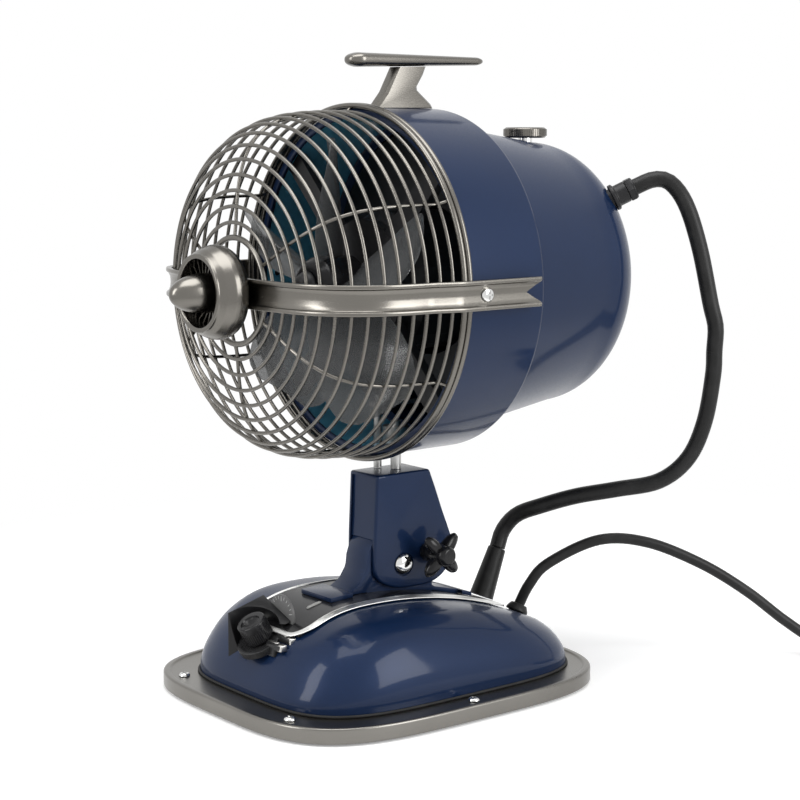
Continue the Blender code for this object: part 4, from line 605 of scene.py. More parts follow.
upper_line = evenly(curve_through([gland_seat - gland_normal * 0.0068, gland_seat,
    gland_seat + gland_normal * gland_end] + upper_route + [seam_point - seam_way * 0.015, seam_point]),
    0.004)
lower_line = evenly(curve_through([seam_point,
    seam_point + seam_way * 0.015] + lower_route + [boot_top - into_boot * 0.012,
    boot_top - into_boot * 0.0004]), 0.004)
for part, line, low_body, high_body, low_end, high_end in (
        ("upper", upper_line, "neck", "head", seam_point, gland_seat + gland_normal * gland_end),
        ("lower", lower_line, "base", "neck", boot_top, seam_point)):
    head_cord = tube(f"head_cord_{part}_dressed", line, head_cord_radius, cord_rubber, 24)
    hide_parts(f"head_cord_{part}")
    line_length(line)
    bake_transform(head_cord)

mains_radius = 0.0034
grommet_height = 0.0055
coil_centre = Vector((0.185, 0.302, 0))
coil_inner = 0.0305
coil_pitch = 0.0074
coil_turns = 3
coil_loop_points = 24
coil_tuck = 0.0012
coil_low = 0.0012 + mains_radius
coil_outer = coil_inner + coil_pitch * coil_turns
coil_start = math.radians(202)
coil_lead = 0.008


def base_skin(x, y):
    """Height of the blue body above a place on the base."""
    levels = []
    for height_share, width_share, length_share, shift in body_levels:
        middle = (body_front_y + body_rear_y) / 2 + shift
        half_length = (body_rear_y - body_front_y) / 2 * length_share
        reach = (abs(x) / (body_half_width * width_share)) ** body_squareness
        reach += (abs(y - middle) / half_length) ** body_squareness
        levels.append((reach, height_share))
    share = levels[-1][1]
    for (r1, h1), (r2, h2) in zip(levels, levels[1:]):
        if r1 <= 1 <= r2:
            share = h1 + (h2 - h1) * (1 - r1) / (r2 - r1)
    return body_bottom + (arch_z(y) - body_bottom) * share


def base_normal(x, y, span=0.005):
    slope_x = (base_skin(x + span, y) - base_skin(x - span, y)) / (2 * span)
    slope_y = (base_skin(x, y + span) - base_skin(x, y - span)) / (2 * span)
    return Vector((-slope_x, -slope_y, 1)).normalized()


grommet_x, grommet_y = 0.019, 0.0955
grommet_foot = Vector((grommet_x, grommet_y, base_skin(grommet_x, grommet_y)))
grommet_out = base_normal(grommet_x, grommet_y)
coil_entry = coil_centre + Vector((math.cos(coil_start) * coil_outer, math.sin(coil_start) * coil_outer,
    coil_low))
coil_heading = Vector((math.sin(coil_start), -math.cos(coil_start), 0))
mains_points = [grommet_foot - grommet_out * 0.0022, grommet_foot + grommet_out * grommet_height,
    Vector((0.0239, 0.1026, 0.0502)), Vector((0.0304, 0.1122, 0.0631)), Vector((0.0483, 0.1383, 0.0776)),
    Vector((0.066, 0.164, 0.0757)), Vector((0.086, 0.193, 0.0612)), Vector((0.103, 0.217, 0.043)),
    Vector((0.117, 0.237, 0.024)), Vector((0.129, 0.253, 0.011)),
    coil_entry - coil_heading * (coil_lead + 2 * mains_radius), coil_entry - coil_heading * coil_lead]
mains_line = evenly(curve_through(mains_points), 0.004)
climb = 0.5
for i in range(int(coil_loop_points * (2 * coil_turns + climb)) * 2 + 1):
    turns = i / 2 / coil_loop_points
    radius = coil_outer - coil_pitch * turns
    rise = 0.0
    if turns > coil_turns + climb:
        radius = coil_inner + coil_pitch * (turns - coil_turns - climb)
        rise = coil_pitch
    elif turns > coil_turns:
        share = (turns - coil_turns) / climb
        radius = coil_inner - coil_tuck * math.sin(math.pi * share)
        rise = coil_pitch * (1 - math.cos(math.pi * share)) / 2
    a = coil_start - 2 * math.pi * turns
    mains_line.append(coil_centre + Vector((radius * math.cos(a), radius * math.sin(a), coil_low + rise)))
plug_way = mains_line[-1] - mains_line[-2]
plug_way.z = 0
plug_way.normalize()
plug_start = mains_line[-1] + plug_way * coil_lead
mains_line.append(plug_start)
mains = tube("mains_cord_dressed", mains_line, mains_radius, cord_rubber, 12)

plug_side = plug_way.cross(axis_z)
rings = []
for t, share, tall in ((0, 0.3, 0.42), (0.06, 0.36, 0.46), (0.2, 0.54, 0.62), (0.34, 0.8, 0.8),
        (0.46, 0.97, 0.94), (0.55, 1.0, 1.0), (0.86, 1.0, 1.0), (0.95, 0.985, 0.985), (1.0, 0.92, 0.93)):
    centre = plug_start + plug_way * (0.0003 + 0.036 * t)
    rings.append([centre + plug_side * x + axis_z * z for x,
        z in superellipse(0.013 * share, 0.01 * tall, 3.0, 40)])
plug_body = loft("plug_body", rings, black_plastic, 50)
pins = bmesh.new()
for offset in (-0.0095, 0.0095):
    base = plug_start + plug_way * 0.0345 + plug_side * offset
    lathe(pins, [(0, 0), (0.002, 0), (0.002, 0.0172), (0.0016, 0.0186), (0.0007, 0.019), (0, 0.019)],
          Matrix.Translation(base) @ turn_to(plug_way), 20, False)
plug_pins = new_object("plug_pins", mesh_from("plug_pins", pins), chrome)
plug = joined("mains_plug_dressed", [plug_body, plug_pins])
put(plug, "base", "black_rubber", "mains_plug")
put(mains, "base", "black_rubber", "mains_cord", "mains_cord_coil")
line_length(mains_line)


# Geometry node trees for what repeats

class Growth:
    """A Geometry Nodes tree that gives its finish to all it makes."""

    def __init__(self, name, *inputs):
        self.tree = bpy.data.node_groups.new(name, "GeometryNodeTree")
        for label, kind in (("Geometry", "Geometry"), *inputs, ("Finish", "Material")):
            self.tree.interface.new_socket(label, in_out="INPUT", socket_type="NodeSocket" + kind)
        self.tree.interface.new_socket("Geometry", in_out="OUTPUT", socket_type="NodeSocketGeometry")
        self.given = self.tree.nodes.new("NodeGroupInput").outputs

    def add(self, kind, inputs, output=0, **settings):
        """One output of a new node, fed by other sockets or by constants."""
        node = self.tree.nodes.new(kind)
        for name, value in settings.items():
            setattr(node, name, value)
        for name, value in inputs.items():
            if isinstance(value, bpy.types.NodeSocket):
                self.tree.links.new(value, node.inputs[name])
            else:
                node.inputs[name].default_value = value
        return node.outputs[output]

    def copies(self, points, piece, **inputs):
        made = self.add("GeometryNodeInstanceOnPoints", {"Points": points, "Instance": piece, **inputs})
        return self.add("GeometryNodeRealizeInstances", {"Geometry": made})

    def finished(self, geometry):
        made = self.add("GeometryNodeSetMaterial", {"Geometry": geometry, "Material": self.given["Finish"]})
        self.tree.links.new(made, self.tree.nodes.new("NodeGroupOutput").inputs["Geometry"])
        return self.tree


def wire_ring_tree():
    """A wire ring about Y at every point, as wide as the point's ring_radius says."""
    g = Growth("wire_rings", ("Wire radius", "Float"), ("Ring points", "Int"), ("Wire sides", "Int"))
    circle = "GeometryNodeCurvePrimitiveCircle"
    flat = g.add(circle, {"Resolution": g.given["Ring points"], "Radius": 1.0})
    upright = g.add("GeometryNodeTransform", {"Geometry": flat, "Rotation": (math.radians(90), 0, 0)})
    width = g.add("GeometryNodeInputNamedAttribute", {"Name": "ring_radius"}, "Attribute")
    rings = g.copies(g.given["Geometry"], upright, Scale=width)
    wire = g.add(circle, {"Resolution": g.given["Wire sides"], "Radius": g.given["Wire radius"]})
    return g.finished(g.add("GeometryNodeCurveToMesh", {"Curve": rings, "Profile Curve": wire}))


def around_tree():
    """The piece again and again about its Z axis."""
    g = Growth("around_axis", ("Count", "Int"))
    spots = g.add("GeometryNodePoints", {"Count": g.given["Count"]})
    index = g.add("GeometryNodeInputIndex", {})
    share = g.add("ShaderNodeMath", {0: index, 1: g.given["Count"]}, operation="DIVIDE")
    angle = g.add("ShaderNodeMath", {0: share, 1: 2 * math.pi}, operation="MULTIPLY")
    turn = g.add("ShaderNodeCombineXYZ", {"Z": angle})
    return g.finished(g.copies(spots, g.given["Geometry"], Rotation=turn))


def spots_tree():
    """The named piece at every point."""
    g = Growth("at_spots", ("Piece", "Object"))
    piece = g.add("GeometryNodeObjectInfo", {"Object": g.given["Piece"]}, "Geometry")
    return g.finished(g.copies(g.given["Geometry"], piece))


ring_tree = wire_ring_tree()
turn_tree = around_tree()
spot_tree = spots_tree()


def grown(name, tree, mesh, finish, seams=45, **values):
    piece = in_scene(name, mesh)
    grow = piece.modifiers.new("grow", "NODES")
    grow.node_group = tree
    given = {label.replace("_", " ").capitalize(): value for label, value in values.items()}
    given["Finish"] = finish
    for item in tree.interface.items_tree:
        if item.in_out == "INPUT" and item.name in given:
            grow[item.identifier] = given[item.name]
    settle(piece)
    soften(piece.data, seams)
    return piece


def around(name, work, count, finish, place, seams=35):
    """A tooth or fin repeated about an axis, then put in its place."""
    piece = grown(name, turn_tree, mesh_from(name, work), finish, seams, count=count)
    piece.data.transform(place)
    return piece


def box_in(work, low, high, taper=1.0):
    """A block whose top may be narrower than its foot across Y."""
    corners = []
    for z, share in ((low[2], 1.0), (high[2], taper)):
        middle = (low[1] + high[1]) / 2
        half = (high[1] - low[1]) / 2 * share
        for x, y in ((low[0], middle - half), (high[0], middle - half), (high[0], middle + half),
                (low[0], middle + half)):
            corners.append(work.verts.new((x, y, z)))
    for face in ((3, 2, 1, 0), (4, 5, 6, 7), (0, 1, 5, 4), (1, 2, 6, 5), (2, 3, 7, 6), (3, 0, 4, 7)):
        work.faces.new([corners[k] for k in face])


def block(name, low, high, finish, taper=1.0, smooth=True):
    work = bmesh.new()
    box_in(work, low, high, taper)
    return new_object(name, mesh_from(name, work), finish, smooth)


def dressed_copy(node, finish, edge=0.0006, flat=4.0, steps=2):
    """A CAD node's own shape with its coplanar faces merged and its edges rounded."""
    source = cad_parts[node]
    work = bmesh.new()
    work.from_mesh(source.data)
    bmesh.ops.remove_doubles(work, verts=work.verts, dist=0.00001)
    bmesh.ops.dissolve_limit(work, angle_limit=math.radians(flat), verts=work.verts, edges=work.edges)
    mesh = bpy.data.meshes.new(node + "_dressed")
    work.to_mesh(mesh)
    work.free()
    piece = new_object(node + "_dressed", mesh, finish, True, 35)
    if edge:
        ease(piece, edge, steps)
    return piece


# Base: plate, feet, screws and blue body

plate_half_width = 0.1004
plate_half_length = 0.1183
plate_squareness = 3.8


def plate_ring(inset, z, count=200):
    outline = superellipse(plate_half_width - inset, plate_half_length - inset, plate_squareness, count)
    return [Vector((x, y, z)) for x, y in outline]


plate_section = rounded([(0, 0.0012), (0, 0.0105), (0.0034, 0.0105), (0.004, 0.0095), (0.03, 0.0095),
    (0.03, 0.0072), (0.003, 0.0072), (0.003, 0.0012)], 0.0016, 5, closed=True)
plate_piece = loft("base_plate_dressed", [plate_ring(inset, z) for inset, z in plate_section], nickel_plate,
    40, cap=False, loop=True)
put(plate_piece, "base", "satin_nickel", "base_plate")

level_line = curve_through([Vector(level) for level in body_levels] + [Vector((1.0, 0, 0, 0.002575))], 8)
body_rings = []
for height_share, width_share, length_share, shift in level_line:
    middle = (body_front_y + body_rear_y) / 2 + shift
    half_length = (body_rear_y - body_front_y) / 2 * max(length_share, 0.002)
    ring = []
    for x, y in superellipse(body_half_width * max(width_share, 0.002), half_length, body_squareness, 180):
        top = arch_z(middle + y)
        ring.append(Vector((x, middle + y, body_bottom + (top - body_bottom) * min(height_share, 1.0))))
    body_rings.append(ring)
body_piece = loft("base_body_dressed", body_rings, enamel, 0)
put(body_piece, "base", "blue_paint", "base_body")

gasket = tube("base_gasket", [Vector((p.x * 1.004, p.y * 1.004 - 0.0002, 0.0103)) for p in body_rings[0]],
    0.0009, foot_rubber, 8, loop=True)
put(gasket, "base", "black_rubber")


def screw_head(name, radius, height, finish, slot_depth=0.0006):
    """A domed head with a cross recess, standing on the origin."""
    head = turned(name, rounded([(0, height), (radius * 0.55, height * 0.98),
        (radius * 0.86, height * 0.62), (radius, 0), (radius, -0.0002), (0, -0.0002)], radius * 0.2, 3),
        finish, Vector((0, 0, 0)), axis_z, 32, False)
    for turn in (0, 1):
        long, wide = radius * 0.6, radius * 0.13
        if turn:
            long, wide = wide, long
        carve(head, block("recess", (-long, -wide, height - slot_depth), (long, wide, height * 2), finish,
                          smooth=False))
    return head


plate_screw = screw_head("plate_screw_pattern", 0.0034, 0.0016, chrome)
spots = bpy.data.meshes.new("plate_screw_spots")
places = []
for i in range(4):
    low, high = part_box(f"plate_screw_{i + 1}")
    places.append(((low.x + high.x) / 2, (low.y + high.y) / 2, low.z + 0.0002))
spots.from_pydata(places, [], [])
plate_screws = grown("plate_screws_dressed", spot_tree, spots, chrome, 35, piece=plate_screw)
bpy.data.objects.remove(plate_screw)
put(plate_screws, "base", "chrome", *[f"plate_screw_{i + 1}" for i in range(4)])

# Panel on the arch and the satin strip round it
panel_half = 0.0275
panel_start_y = -0.078
panel_length = 0.156
panel_thickness = 0.0012
panel_rows = 78
panel_ys = [panel_start_y + panel_length * i / panel_rows for i in range(panel_rows + 1)]
rows = []
for y in panel_ys:
    z = arch_z(y) + gap
    across = [-1.0, -0.9, -0.6, -0.3, 0, 0.3, 0.6, 0.9, 1.0]
    top = [Vector((panel_half * a, y, z + panel_thickness)) for a in across]
    rows.append(top + [Vector((panel_half, y, z)), Vector((-panel_half, y, z))])
panel = loft("top_panel_dressed", rows, black_gloss, 30)
put(panel, "base", "black_plastic", "top_panel")


def trim_line():
    """The line round the panel: along one side, across the end in a curve and back."""
    side = panel_half + 0.0016
    front, rear = -0.079, 0.08
    corner = 0.012
    flat = []
    for x_sign, y_end, y_sign, turn in ((1, rear, 1, 0), (-1, rear, 1, 1), (-1, front, -1, 2),
            (1, front, -1, 3)):
        for k in range(9):
            a = math.pi / 2 * (k / 8 + turn)
            flat.append((x_sign * (side - corner) + corner * math.cos(a),
                y_end - y_sign * corner + corner * math.sin(a)))
    flat.append(flat[0])
    line = []
    for (x1, y1), (x2, y2) in zip(flat, flat[1:]):
        parts = max(1, round(math.hypot(x2 - x1, y2 - y1) / 0.002))
        for k in range(parts):
            x = x1 + (x2 - x1) * k / parts
            y = y1 + (y2 - y1) * k / parts
            line.append(Vector((x, y, arch_z(y) + 0.0006)))
    return line


trim_path = trim_line()
trim_section = rounded([(-0.0014, -0.0003), (0.0024, -0.0003), (0.0024, 0.0002), (-0.0004, 0.0016),
    (-0.0014, 0.0016)], 0.0004, 3, closed=True)
trim_rings = []
for k, p in enumerate(trim_path):
    along = (trim_path[(k + 1) % len(trim_path)] - trim_path[k - 1]).normalized()
    outward = along.cross(axis_z).normalized()
    trim_rings.append([p + outward * u + axis_z * v for u, v in trim_section])
trim = loft("panel_trim_dressed", trim_rings, trim_satin, 40, cap=False, loop=True)
put(trim, "base", "chrome", "panel_trim")


# Controls: deck, knob, pod, dial, keys

slope_normal = Vector((0, -math.sin(deck_slope), math.cos(deck_slope)))
slope_uphill = Vector((0, math.cos(deck_slope), math.sin(deck_slope)))
knob_foot = knob_top - slope_normal * knob_height
slope_frame = Matrix.Translation(knob_foot) @ Matrix((axis_x, slope_uphill,
    slope_normal)).transposed().to_4x4()

deck = turned("knob_deck_dressed", rounded([(0, -0.0045), (0.0145, -0.0045), (0.0145, -0.0003),
    (0.012, -0.0003), (0.0115, -0.0008), (0, -0.0008)], 0.0004, 3), deck_black, knob_foot, slope_normal, 72,
    False)
put(deck, "base", "grey_plastic", "knob_deck")

knob = turned("timer_knob_dressed", rounded([(0, knob_height), (knob_radius * 0.93, knob_height),
    (knob_radius, knob_height - 0.0006), (knob_radius, 0), (0, 0)], 0.0007, 4), black_gloss, knob_foot,
    slope_normal, 72, False)
scoop = turned("knob_scoop", [(0, 0.006), (0.003, 0.0056), (0.0056, 0.0042), (0.0072, 0), (0.0056, -0.0042),
    (0.003, -0.0056), (0, -0.006)], black_gloss,
    knob_foot + slope_normal * (knob_height + 0.0032) - slope_uphill * 0.001 + axis_x * 0.001, slope_normal,
    48, False)
carve(knob, scoop)
ridges = bmesh.new()
box_in(ridges, (knob_radius - 0.0004, -0.00032, 0.001),
    (knob_radius + 0.00012, 0.00032, knob_height * 0.62), 0.8)
grip = around("knob_ridges", ridges, 44, black_plastic, slope_frame)
knob = joined("timer_knob_whole", [knob, grip])
put(knob, "timer", "black_plastic", "timer_knob")

pod = dressed_copy("control_pod", black_plastic, 0.0009, 3.0, 3)
put(pod, "base", "black_plastic", "control_pod")
dial = dressed_copy("dial_plate", dial_print, 0.0002, 1.0, 2)
low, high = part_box("dial_plate")
ticks = bmesh.new()
first_tick_angle = 12
tick_sweep = 156
for k in range(11):
    a = math.radians(first_tick_angle + tick_sweep * k / 10)
    out_way = Vector((math.cos(a), 0, math.sin(a)))
    side_way = Vector((-math.sin(a), 0, math.cos(a)))
    centre = Vector((0.003, high.y, 0.054))
    near, far = (0.0082, 0.0112) if k % 5 == 0 else (0.0094, 0.0112)
    for y in (low.y - 0.00006, high.y - 0.0001):
        corners = [centre + out_way * r + side_way * s for r,
            s in ((near, -0.0002), (far, -0.0002), (far, 0.0002), (near, 0.0002))]
        for c in corners:
            c.y = y
        row = [ticks.verts.new(c) for c in corners] + [ticks.verts.new(c + axis_y * 0.00016)
            for c in corners]
        for face in ((0, 1, 2, 3), (7, 6, 5, 4), (0, 4, 5, 1), (1, 5, 6, 2), (2, 6, 7, 3), (3, 7, 4, 0)):
            ticks.faces.new([row[n] for n in face])
tick_marks = new_object("dial_ticks", mesh_from("dial_ticks", ticks), tick_pale, False)
put(dial, "base", "grey_plastic", "dial_plate")
put(tick_marks, "base", "black_plastic")
for i in range(3):
    low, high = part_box(f"key_{i + 1}")
    middle = (low.y + high.y) / 2
    key_body = dressed_copy(f"key_{i + 1}", key_black, 0.0004, 2.0, 3)
    key_inlay = block("key_inlay", (low.x + 0.0006, middle - 0.0015, high.z - 0.0004),
                      (high.x - 0.0058, middle + 0.0015, high.z + 0.0004), key_satin, 0.7)
    ease(key_inlay, 0.0002, 2)
    key_toe = block("key_toe", (high.x - 0.0036, middle - 0.0027, high.z - 0.004),
                    (high.x + 0.0004, middle + 0.0027, high.z + 0.0002), key_satin, 0.8)
    ease(key_toe, 0.0008, 3)
    key = joined(f"key_{i + 1}_whole", [key_body, key_inlay, key_toe])
    put(key, ("key_a", "key_b", "key_c")[i], "grey_plastic", f"key_{i + 1}")

# Small pale dash on the panel beside the neck
dash = tube("panel_dash", [Vector((0.0085, y, arch_z(y) + 0.0018)) for y in (-0.0589, -0.0575, -0.056,
    -0.053, -0.05, -0.0486)], lambda t: 0.0009 if 0 < t < 1 else 0.0004, grey_plastic, 12)
put(dash, "base", "grey_plastic")

# Neck: bracket, yoke, screws
bracket = dressed_copy("neck_bracket", enamel, 0.0007, 3.0, 2)
put(bracket, "base", "blue_paint", "neck_bracket")

yoke_half = 0.0138
tilt_y, tilt_z = 0.0094, 0.0743
wing_y, wing_z = 0.027, 0.08
yoke_points = [(-0.0105, 0.1305), (0.0295, 0.1305), (0.0345, 0.1184), (0.04, 0.104), (0.045, 0.092),
               (0.0475, 0.084), (0.0465, 0.072), (0.042, 0.0653), (0.035, 0.061), (0.027, 0.0593),
               (0.012, 0.0593), (0.003, 0.0605), (-0.006, 0.064), (-0.0108, 0.0684), (-0.0124, 0.074),
               (-0.0124, 0.09), (-0.0115, 0.11)]


def soft_outline(points, keep, parts=5):
    """A closed outline made smooth, with the corners named in keep left as they are."""
    out = []
    count = len(points)
    for i in range(count):
        a, b, c, d = [Vector(points[(i + k) % count]) for k in (-1, 0, 1, 2)]
        if i in keep:
            a = 2 * b - c
        if (i + 1) % count in keep:
            d = 2 * c - b
        for k in range(parts):
            out.append(tuple(spline(a, b, c, d, k / parts)))
    return out


yoke = plate("yoke_dressed", soft_outline(yoke_points, (0, 1, 2)), yoke_half, enamel, 0.0016, 4)
arch = [(tilt_y + 0.0266 * math.cos(math.pi * k / 32),
    tilt_z + 0.0266 * math.sin(math.pi * k / 32)) for k in range(33)]
room = plate("yoke_room", arch + [(-0.03, tilt_z), (-0.03, 0.05), (0.0365, 0.05), (0.0365, tilt_z)], 0.0108,
             enamel, 0.00001, 1)
carve(yoke, room)
recess = plate("yoke_front_recess", [(-0.03, 0.074), (-0.0108, 0.074), (-0.0112, 0.09), (-0.0104, 0.103),
    (-0.0094, 0.1285), (-0.03, 0.1285)], 0.0112, enamel, 0.00001, 1)
carve(yoke, recess)
for y, z, radius, start in ((tilt_y, tilt_z, 0.0074, 0.0129), (tilt_y, tilt_z, 0.0043, -0.02),
        (wing_y, wing_z, 0.0031, -0.02)):
    hole = turned("yoke_hole", [(0, 0), (radius, 0), (radius, 0.04), (0, 0.04)], enamel,
                  Vector((start, y, z)), axis_x, 40, False)
    carve(yoke, hole)
put(yoke, "neck", "blue_paint", "yoke")

bolt_start = yoke_half - 0.0034 / 4 + gap
bolt = turned("tilt_bolt_head", rounded([(0, 0.0034), (0.0034, 0.0031), (0.0056, 0.0019), (0.0068, 0),
    (0.004, 0), (0.004, -0.0323), (0, -0.0323)], 0.001, 4), chrome, Vector((bolt_start, tilt_y, tilt_z)),
    axis_x, 48, False)
put(bolt, "neck", "chrome", "tilt_bolt")


def lobe_outline(count=4, inner=0.006, outer=0.0165, points=160):
    """A star with narrowing, softly pointed lobes."""
    out = []
    for k in range(points):
        a = 2 * math.pi * k / points
        wave = 0.5 + 0.5 * math.cos(count * (a - math.radians(45)))
        out.append((a, inner + (outer - inner) * wave ** 1.25))
    return out


wing_hub = Vector((yoke_half + gap, wing_y, wing_z))
wing_end = wing_hub.x + 0.022
rings = []
for x, grow in ((wing_end - 0.0124, 0.5), (wing_end - 0.0118, 0.74), (wing_end - 0.0102, 0.93),
        (wing_end - 0.0084, 1.0), (wing_end - 0.0066, 0.95), (wing_end - 0.0052, 0.78),
        (wing_end - 0.0044, 0.52)):
    rings.append([Vector((x, wing_hub.y + math.cos(a) * r * grow, wing_hub.z + math.sin(a) * r * grow))
                  for a, r in lobe_outline()])
star = loft("wing_star", rings, black_gloss, 40)
hub = turned("wing_hub", rounded([(0, 0.022), (0.0045, 0.022), (0.0062, 0.02), (0.0066, 0.013), (0.0058, 0),
    (0.0028, 0), (0.0028, -0.0279), (0, -0.0279)], 0.0008, 3), black_gloss, wing_hub, axis_x, 48, False)
wing = joined("wing_screw_dressed", [star, hub])
put(wing, "wing", "black_plastic", "wing_screw")


# Head: shells

front_profile = rounded([(0.0965, -0.0155), (0.1016, -0.0155), (0.1022, -0.013), (0.1017, 0.0407),
    (0.0995, 0.0427), (0.0938, 0.0427), (0.0938, 0.0407), (0.0995, 0.0387), (0.0996, -0.0115),
    (0.0965, -0.0135)], 0.0016, 5, closed=True)
front_shell = turned("front_shell_dressed", front_profile, enamel, head_axis, axis_y, 192)
put(front_shell, "head", "blue_paint", "front_shell")
# A thin sheet lining the inside of the front shell in that lighter enamel: painted light on the drum's inner
# wall
painted_light_liner = turned("front_liner", [(0.0992, -0.011), (0.0992, 0.038), (0.099, 0.038), (0.099, -0.011)],
    enamel_painted_lit_inside, head_axis, axis_y, 128)
put(painted_light_liner, "head", "blue_paint")

# Rear shell: a slight cone, then a rounded back
cone_start_radius = 0.0928
cone_end_radius = 0.0815
cone_start_y = 0.043
cone_length = 0.074
back_start_y = 0.117
back_length = 0.0485
wall = 0.002
outer = [(0.0932, 0.039), (cone_start_radius, cone_start_y)]
for k in range(1, 9):
    t = k / 8
    outer.append((cone_start_radius + (cone_end_radius - cone_start_radius) * t,
        cone_start_y + cone_length * t))
for k in range(1, 25):
    share = math.sin(math.pi / 2 * k / 24)
    bend = max(0, 1 - share ** 2.2) ** (1 / 1.7) if k < 24 else 0.0
    outer.append((cone_end_radius * bend, back_start_y + back_length * share))
inner = [(max(0, r - wall), y - (wall if y > back_start_y else 0)) for r, y in outer[:-1]]
inner.append((0, outer[-1][1] - wall))
rear_shell = turned("rear_shell_dressed", outer + list(reversed(inner)), enamel, head_axis, axis_y, 192,
    False, 40)
put(rear_shell, "head", "blue_paint", "rear_shell")


# Guard: rings, two rim wires, ribs

def guard_shape(count):
    """Evenly spaced (radius, depth) places on the rounded outline, from the rim to the middle."""
    corner = guard_depth * 0.5 ** (1 / guard_power)
    dense = []
    for i in range(200):
        s = guard_first_s + (corner - guard_first_s) * i / 200
        dense.append(Vector((guard_radius * (1 - (s / guard_depth) ** guard_power) ** (1 / guard_power),
            s)))
    start = dense[-1].x
    for i in range(1, 201):
        r = start + (guard_last_radius - start) * i / 200
        dense.append(Vector((r,
            guard_depth * (1 - (r / guard_radius) ** guard_power) ** (1 / guard_power))))
    total = line_length(dense)
    places = [dense[0]]
    walked = 0.0
    for p, q in zip(dense, dense[1:]):
        length = (q - p).length
        while len(places) < count - 1 and walked + length >= len(places) * total / (count - 1):
            places.append(p.lerp(q, (len(places) * total / (count - 1) - walked) / length))
        walked += length
    places.append(dense[-1])
    return places


def wire_rings(name, pairs, wire_radius, ring_points, wire_sides):
    """Wire rings about the head's axis, one for each (radius, depth) pair."""
    mesh = bpy.data.meshes.new(name)
    mesh.from_pydata([(0, rim_y - s, head_z) for r, s in pairs], [], [])
    width = mesh.attributes.new("ring_radius", "FLOAT", "POINT")
    width.data.foreach_set("value", [r for r, s in pairs])
    return grown(name, ring_tree, mesh, nickel, 60, wire_radius=wire_radius, ring_points=ring_points,
                 wire_sides=wire_sides)


rings_piece = wire_rings("guard_rings", guard_shape(guard_ring_count), ring_wire, 144, 10)
hub_ring = wire_rings("guard_hub_ring", [(hub_ring_radius, guard_depth - rib_wire)], hub_ring_wire, 96, 12)
rim_rings = [wire_rings(f"guard_rim_{name}", [(rim_radius, depth)], rim_wire, 192, 14)
             for name, depth in (("front", 0.001), ("rear", -0.0027))]
rib_line = [Vector((rim_radius - 0.0006, 0, 0))]
for r, s in guard_shape(60):
    inward = ring_wire + rib_wire * 0.5
    lean = (s / guard_depth) ** guard_power
    rib_line.append(Vector((r - inward * (1 - lean), 0, s - inward * lean)))
rib_line.append(Vector((hub_ring_radius, 0, guard_depth - rib_wire)))
rib_work = bmesh.new()
add_tube(rib_work, evenly(rib_line, 0.003), rib_wire, 10)
guard_place = Matrix.Translation((0, rim_y, head_z)) @ Matrix.Rotation(math.radians(90), 4, "X") \
    @ Matrix.Rotation(math.radians(30), 4, "Z")
ribs = around("guard_ribs", rib_work, rib_count, nickel, guard_place, 60)
guard = joined("guard_dressed", [rings_piece, hub_ring, *rim_rings, ribs])
put(guard, "head", "satin_nickel", "guard")

# Strap across the guard, a channel with raised rails, forked at its ends
strap_half = 0.0084
strap_side_x = 0.1054
strap_end_y = 0.033
strap_screw_x = strap_side_x + 0.0014
strap_screw_y = -0.0054
reach = 0.0013
half_path = [Vector((strap_side_x, strap_end_y)), Vector((strap_side_x, 0.01)),
    Vector((strap_side_x, -0.009)), Vector((strap_side_x, rim_y - guard_first_s))]
for i in range(1, 41):
    a = math.pi / 2 * i / 40
    r = (guard_radius + reach) * max(math.cos(a), 0) ** (2 / guard_power)
    s = (guard_depth + reach) * math.sin(a) ** (2 / guard_power)
    if s > 3.2 * guard_first_s:
        half_path.append(Vector((r, rim_y - s)))
full_path = evenly(half_path + [Vector((-p.x, p.y)) for p in reversed(half_path[:-1])], 0.0025)
strap_section = rounded([(-strap_half, 0), (strap_half, 0), (strap_half, 0.0034),
    (strap_half - 0.0022, 0.0034), (strap_half - 0.0028, 0.0022), (strap_half - 0.005, 0.0011), (0, 0.0008),
    (-strap_half + 0.005, 0.0011), (-strap_half + 0.0028, 0.0022), (-strap_half + 0.0022, 0.0034),
    (-strap_half, 0.0034)], 0.0007, 3, closed=True)
rings = []
for k, p in enumerate(full_path):
    along = (full_path[min(k + 1, len(full_path) - 1)] - full_path[max(k - 1, 0)]).normalized()
    outward = Vector((-along.y, along.x))
    if outward.dot(p - Vector((0, strap_end_y))) < 0:
        outward.negate()
    rings.append([Vector((p.x + outward.x * up, p.y + outward.y * up, head_z + z)) for z,
        up in strap_section])
strap = loft("strap_dressed", rings, nickel_strap, 35)
for side in (-1, 1):
    notch = bmesh.new()
    wedge = []
    for x in (strap_side_x - 0.004, strap_side_x + 0.008):
        for y, z in ((strap_end_y - 0.0095, 0), (strap_end_y + 0.004, 0.0078),
                (strap_end_y + 0.004, -0.0078)):
            wedge.append(notch.verts.new((side * x, y, head_z + z)))
    for face in ((0, 1, 2), (5, 4, 3), (0, 3, 4, 1), (1, 4, 5, 2), (2, 5, 3, 0)):
        notch.faces.new([wedge[k] for k in face])
    carve(strap, new_object("strap_notch", mesh_from("strap_notch", notch), nickel_strap, False))
put(strap, "head", "satin_nickel", "strap")
for side, name in ((1, "right"), (-1, "left")):
    head_piece = screw_head(f"strap_screw_{name}_head", 0.0042, 0.0017, chrome, 0.0008)
    head_piece.data.transform(Matrix.Translation((side * strap_screw_x, strap_screw_y,
        head_z)) @ turn_to(axis_x * side))
    shank = turned(f"strap_screw_{name}_shank", [(0.0019, 0), (0.0019, -0.0105), (0, -0.0105), (0, 0)],
        chrome, Vector((side * strap_screw_x, strap_screw_y, head_z)), axis_x * side, 24, False)
    screw = joined(f"strap_screw_{name}_dressed", [head_piece, shank])
    put(screw, "head", "steel", f"strap_screw_{name}")

